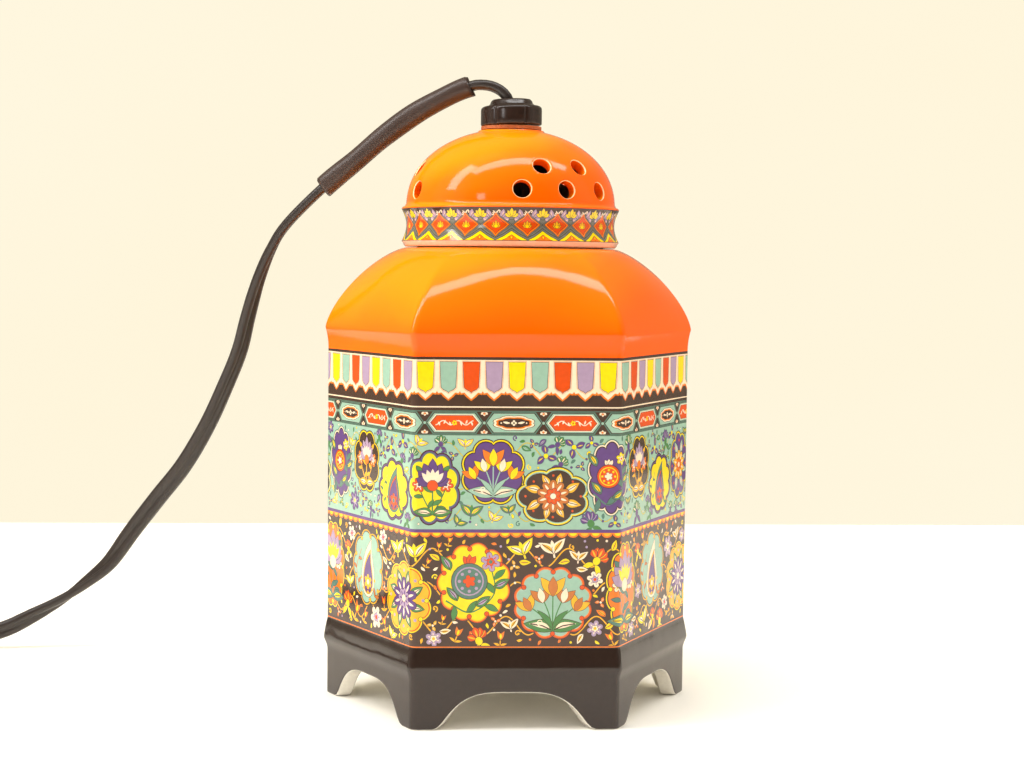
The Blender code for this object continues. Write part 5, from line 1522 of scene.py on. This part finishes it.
def sleeve(line, finish):
    """The loose sleeve: a thin tube, cut aslant at both ends and pressed a little oval."""
    lengths = np.concatenate([[0.0], np.cumsum(np.linalg.norm(np.diff(line, axis=0), axis=1))])
    marks = np.linspace(SLEEVE_START, SLEEVE_START + SLEEVE_LENGTH, SLEEVE_RINGS)
    path = np.stack([np.interp(marks, lengths, line[:, axis]) for axis in range(3)], axis=1)
    frames = line_frames(path, np.zeros(len(path)))
    along = np.gradient(path, axis=0)
    along /= np.linalg.norm(along, axis=1)[:, None]
    angles = np.linspace(0.0, 2 * math.pi, SLEEVE_SEGMENTS, endpoint=False)
    rows = []

    def ring(index, radius, slant):
        side, other = frames[index]
        squeeze = SLEEVE_SQUEEZE * math.sin(index * 0.21)
        points = []
        for angle in angles:
            wave = 1 + SLEEVE_WAVE * math.sin(3 * angle + index * 0.4)
            out = side * math.cos(angle) * (1 + squeeze) + other * math.sin(angle) * (1 - squeeze)
            points.append(path[index] + out * radius * wave + along[index] * slant * math.sin(angle))
        return np.array(points)

    last = len(path) - 1
    edge = (SLEEVE_RADIUS - SLEEVE_BORE) / 2
    rows.append(ring(0, SLEEVE_BORE + edge, -0.7))
    rows.append(ring(0, SLEEVE_RADIUS - 0.08, -0.68))
    for index in range(1, last):
        ends = max(0.0, 1 - index / 4) * -0.6 + max(0.0, 1 - (last - index) / 4) * 0.35
        rows.append(ring(index, SLEEVE_RADIUS - 0.05, ends))
    rows.append(ring(last, SLEEVE_RADIUS - 0.08, 0.4))
    rows.append(ring(last, SLEEVE_BORE + edge, 0.42))
    for index in range(last, -1, -3):
        rows.append(ring(index, SLEEVE_BORE, 0.0))
    rows.append(rows[0])
    body = Body()
    body.rows(rows, ["black"] * (len(rows) - 1))
    return dressed(body.build_plain("flex_sleeve_tube", finish), "lid_body", "black_pvc", "flex_sleeve")


# Cap nut

def cap_nut(finish):
    """A moulded nut: shallow grips round its side and a raised ring at the top."""
    angle = 2 * np.pi * np.arange(NUT_SEGMENTS) / NUT_SEGMENTS
    grip = np.clip(np.cos(NUT_GRIPS * angle + 0.5), 0.0, 1.0) ** 40
    profile = [(5.2, NUT_LOW, 0.0), (NUT_RADIUS - 0.5, NUT_LOW, 0.0),
               (NUT_RADIUS - 0.12, NUT_LOW + 0.15, 0.6),
               (NUT_RADIUS, NUT_LOW + 0.5, 1.0), (NUT_RADIUS, NUT_LOW + 2.0, 1.0),
               (NUT_RADIUS, NUT_LOW + 4.4, 1.0)]
    for step in range(1, 7):
        turn = math.pi / 2 * step / 6
        profile.append((NUT_RADIUS - 1.5 * (1 - math.cos(turn)), NUT_LOW + 4.6 + 1.2 * math.sin(turn),
                        max(0.0, 1 - step / 4)))
    profile += [(6.9, NUT_LOW + 6.0, 0.0), (6.4, NUT_LOW + 6.4, 0.0), (6.1, NUT_LOW + 7.2, 0.0),
                (5.6, NUT_HIGH - 0.1, 0.0), (5.0, NUT_HIGH, 0.0), (NUT_HOLE + 0.4, NUT_HIGH, 0.0),
                (NUT_HOLE, NUT_HIGH - 0.4, 0.0), (NUT_HOLE, NUT_LOW + 5.3, 0.0), (5.1, NUT_LOW + 5.3, 0.0),
                (5.1, NUT_LOW + 0.1, 0.0), (5.2, NUT_LOW, 0.0)]
    body = Body()
    rows = []
    for radius, height, depth in profile:
        round_row = np.exp(1j * angle) * (radius - NUT_GRIP_DEPTH * grip * depth)
        rows.append(level(round_row, height + NUT_TILT * round_row.real))
    body.rows(rows, ["black"] * (len(profile) - 1))
    return dressed(body.build_plain("cap_nut_moulding", finish), "nut_body", "black_phenolic", "cap_nut")


# Finishes of the pieces that stay as the frame has them

def slot_finishes():
    return {
        "black_phenolic": surface("black_phenolic", (44, 32, 26), 0.2, variation=0.2, grain=500.0, bump=0.05),
        "brown_fibre": surface("brown_fibre", (176, 96, 48), 0.75, variation=0.3, grain=900.0, bump=0.4,
                               bump_scale=900.0),
        "brass": surface("brass", (206, 168, 96), 0.3, 1.0, variation=0.15, grain=700.0, rough_range=0.08),
        "zinc_steel": surface("zinc_steel", (176, 178, 182), 0.34, 1.0, variation=0.12, grain=900.0,
                              rough_range=0.08),
        "copper": surface("copper", (196, 112, 78), 0.34, 1.0, variation=0.15, grain=900.0, rough_range=0.08),
        "bulb_metal": surface("bulb_metal", (206, 206, 210), 0.3, 1.0, variation=0.1, grain=900.0,
                              rough_range=0.06),
        "bulb_glass": surface("bulb_glass", (240, 238, 230), 0.35, variation=0.04, grain=500.0),
        "tungsten": surface("tungsten", (110, 108, 104), 0.4, 1.0, variation=0.1, grain=900.0),
        "black_pvc": surface("black_pvc", (46, 37, 32), 0.34, variation=0.14, grain=160.0, rough_range=0.06),
        "sleeve_pvc": surface("sleeve_pvc", (62, 46, 38), 0.4, variation=0.18, grain=120.0, rough_range=0.06),
    }


def dress_frame(finishes):
    for entry in frame["record"]["subparts"]:
        finish = finishes.get(entry["material_slot"])
        node = frame["nodes"][entry["node"]]
        if finish is None:
            continue
        if not node.material_slots:
            node.data.materials.append(finish)
        for place in node.material_slots:
            place.material = finish


# Stage, lamps and camera

def shown_pale(name, colour, roughness=0.6):
    """A pale surface that the camera sees at its own colour, dimmer where it shows in gloss."""
    made = bpy.data.materials.new(name)
    made.use_nodes = True
    tree = made.node_tree
    shader = tree.nodes["Principled BSDF"]
    shader.inputs["Roughness"].default_value = roughness
    cloud = noise(tree, 5.0, 5.0)
    ramp = tree.nodes.new("ShaderNodeValToRGB")
    ramp.color_ramp.elements[0].position = 0.35
    ramp.color_ramp.elements[1].position = 0.65
    red, green, blue, _ = linear(colour)
    ramp.color_ramp.elements[0].color = (red, green * 0.975, blue * 0.93, 1.0)
    ramp.color_ramp.elements[1].color = (red, green, blue, 1.0)
    tree.links.new(cloud.outputs["Fac"], ramp.inputs["Fac"])
    tree.links.new(ramp.outputs["Color"], shader.inputs["Base Color"])
    glow = tree.nodes.new("ShaderNodeEmission")
    tree.links.new(ramp.outputs["Color"], glow.inputs["Color"])
    rays = tree.nodes.new("ShaderNodeLightPath")
    most = tree.nodes.new("ShaderNodeMath")
    most.operation = "MAXIMUM"
    tree.links.new(rays.outputs["Is Camera Ray"], most.inputs[0])
    tree.links.new(rays.outputs["Is Transmission Ray"], most.inputs[1])
    dim = tree.nodes.new("ShaderNodeEmission")
    dim.inputs["Strength"].default_value = 0.3
    tree.links.new(ramp.outputs["Color"], dim.inputs["Color"])
    seen = tree.nodes.new("ShaderNodeMixShader")
    tree.links.new(rays.outputs["Is Glossy Ray"], seen.inputs["Fac"])
    tree.links.new(shader.outputs["BSDF"], seen.inputs[1])
    tree.links.new(dim.outputs["Emission"], seen.inputs[2])
    mix = tree.nodes.new("ShaderNodeMixShader")
    tree.links.new(most.outputs["Value"], mix.inputs["Fac"])
    tree.links.new(seen.outputs["Shader"], mix.inputs[1])
    tree.links.new(glow.outputs["Emission"], mix.inputs[2])
    tree.links.new(mix.outputs["Shader"], tree.nodes["Material Output"].inputs["Surface"])
    return made


def plane(name, corners, finish):
    mesh = bpy.data.meshes.new(name)
    mesh.from_pydata(corners, [], [(0, 1, 2, 3)])
    mesh.materials.append(finish)
    made = bpy.data.objects.new(name, mesh)
    bpy.context.scene.collection.objects.link(made)
    return made


WALL_Y = 0.363
REACH = 2.5


def stage():
    table = surface("table_white", (250, 247, 240), 0.5, variation=0.015, grain=6.0)
    plane("table", [(-REACH, -REACH, 0.0), (REACH, -REACH, 0.0), (REACH, WALL_Y, 0.0),
                    (-REACH, WALL_Y, 0.0)], table)
    wall = shown_pale("wall_cream", (255, 248, 226))
    plane("wall", [(-REACH, WALL_Y, 0.0), (REACH, WALL_Y, 0.0), (REACH, WALL_Y, REACH),
                   (-REACH, WALL_Y, REACH)], wall)


def lamp(name, place, target, size, power, colour):
    light = bpy.data.lights.new(name, "AREA")
    light.shape = "RECTANGLE"
    light.size, light.size_y = size
    light.energy = power
    light.color = colour
    made = bpy.data.objects.new(name, light)
    made.location = place
    made.rotation_euler = (Vector(target) - Vector(place)).to_track_quat("-Z", "Y").to_euler()
    bpy.context.scene.collection.objects.link(made)
    return made


LAMPS = [  # name, place, size, power in watts, colour, whether it shows in gloss
    ("left_window", (-0.78, -0.22, 0.42), (0.6, 0.6), 3.2, (1.0, 0.97, 0.92), False),
    ("top_panel", (-0.1, 0.22, 0.92), (1.2, 0.8), 5.8, (1.0, 0.98, 0.94), False),
    ("top_edge", (0.05, -0.17, 0.93), (1.3, 0.16), 5.6, (1.0, 1.0, 1.0), True),
    ("left_edge", (-0.64, -0.19, 0.7), (0.16, 0.62), 3.0, (1.0, 1.0, 1.0), True),
    ("small_window", (-0.42, -0.62, 0.3), (0.1, 0.16), 0.35, (1.0, 1.0, 1.0), True),
    ("right_panel", (0.85, -0.2, 0.35), (0.7, 0.8), 3.2, (1.0, 0.95, 0.88), False),
    ("front_fill", (-0.15, -0.85, 0.62), (0.8, 0.6), 2.0, (1.0, 0.98, 0.95), False),
]


def lamps():
    for name, place, size, power, colour, shown in LAMPS:
        lamp(name, place, (0.0, 0.0, 0.1), size, power, colour).visible_glossy = shown


def sky_light():
    """Warm light from behind, darker on the camera's side."""
    world = bpy.data.worlds.new("studio")
    world.use_nodes = True
    tree = world.node_tree
    sky = tree.nodes["Background"]
    sky.inputs["Strength"].default_value = 0.5
    place = tree.nodes.new("ShaderNodeTexCoord")
    parts = tree.nodes.new("ShaderNodeSeparateXYZ")
    ramp = tree.nodes.new("ShaderNodeValToRGB")
    reach = tree.nodes.new("ShaderNodeMapRange")
    reach.inputs["From Min"].default_value = -1.0
    stops = ramp.color_ramp.elements
    stops[0].position = 0.12
    stops[0].color = (0.08, 0.07, 0.06, 1.0)
    stops[1].position = 0.45
    stops[1].color = (1.0, 0.93, 0.8, 1.0)
    tree.links.new(place.outputs["Generated"], parts.inputs["Vector"])
    tree.links.new(parts.outputs["Y"], reach.inputs["Value"])
    tree.links.new(reach.outputs["Result"], ramp.inputs["Fac"])
    tree.links.new(ramp.outputs["Color"], sky.inputs["Color"])
    bpy.context.scene.world = world


CAMERA_PLACE = Vector((-0.0303, -0.5542, 0.1295))
CAMERA_HEADING = (0.0564, 0.9984)
CAMERA_PITCH = 0.0646
CAMERA_ROLL = 0.0104
FOCAL_PIXELS = 1851.0
FRAME_PIXELS = 1024.0


def camera():
    data = bpy.data.cameras.new("camera")
    data.sensor_width = 36.0
    data.lens = FOCAL_PIXELS / FRAME_PIXELS * data.sensor_width
    data.clip_start = 0.01
    made = bpy.data.objects.new("camera", data)
    bpy.context.scene.collection.objects.link(made)
    forward = Vector((CAMERA_HEADING[0], CAMERA_HEADING[1], 0.0)).normalized() * math.cos(CAMERA_PITCH)
    forward.z = -math.sin(CAMERA_PITCH)
    turn = forward.to_track_quat("-Z", "Y") @ Matrix.Rotation(CAMERA_ROLL, 4, "Z").to_quaternion()
    made.matrix_world = Matrix.Translation(CAMERA_PLACE) @ turn.to_matrix().to_4x4()
    bpy.context.scene.camera = made


bpy.context.scene.view_settings.view_transform = "Standard"
camera()
finishes = slot_finishes()
dress_frame(finishes)
flex(finishes["black_pvc"], finishes["sleeve_pvc"])
jar()
lid()
cap_nut(finishes["black_phenolic"])
stage()
lamps()
sky_light()
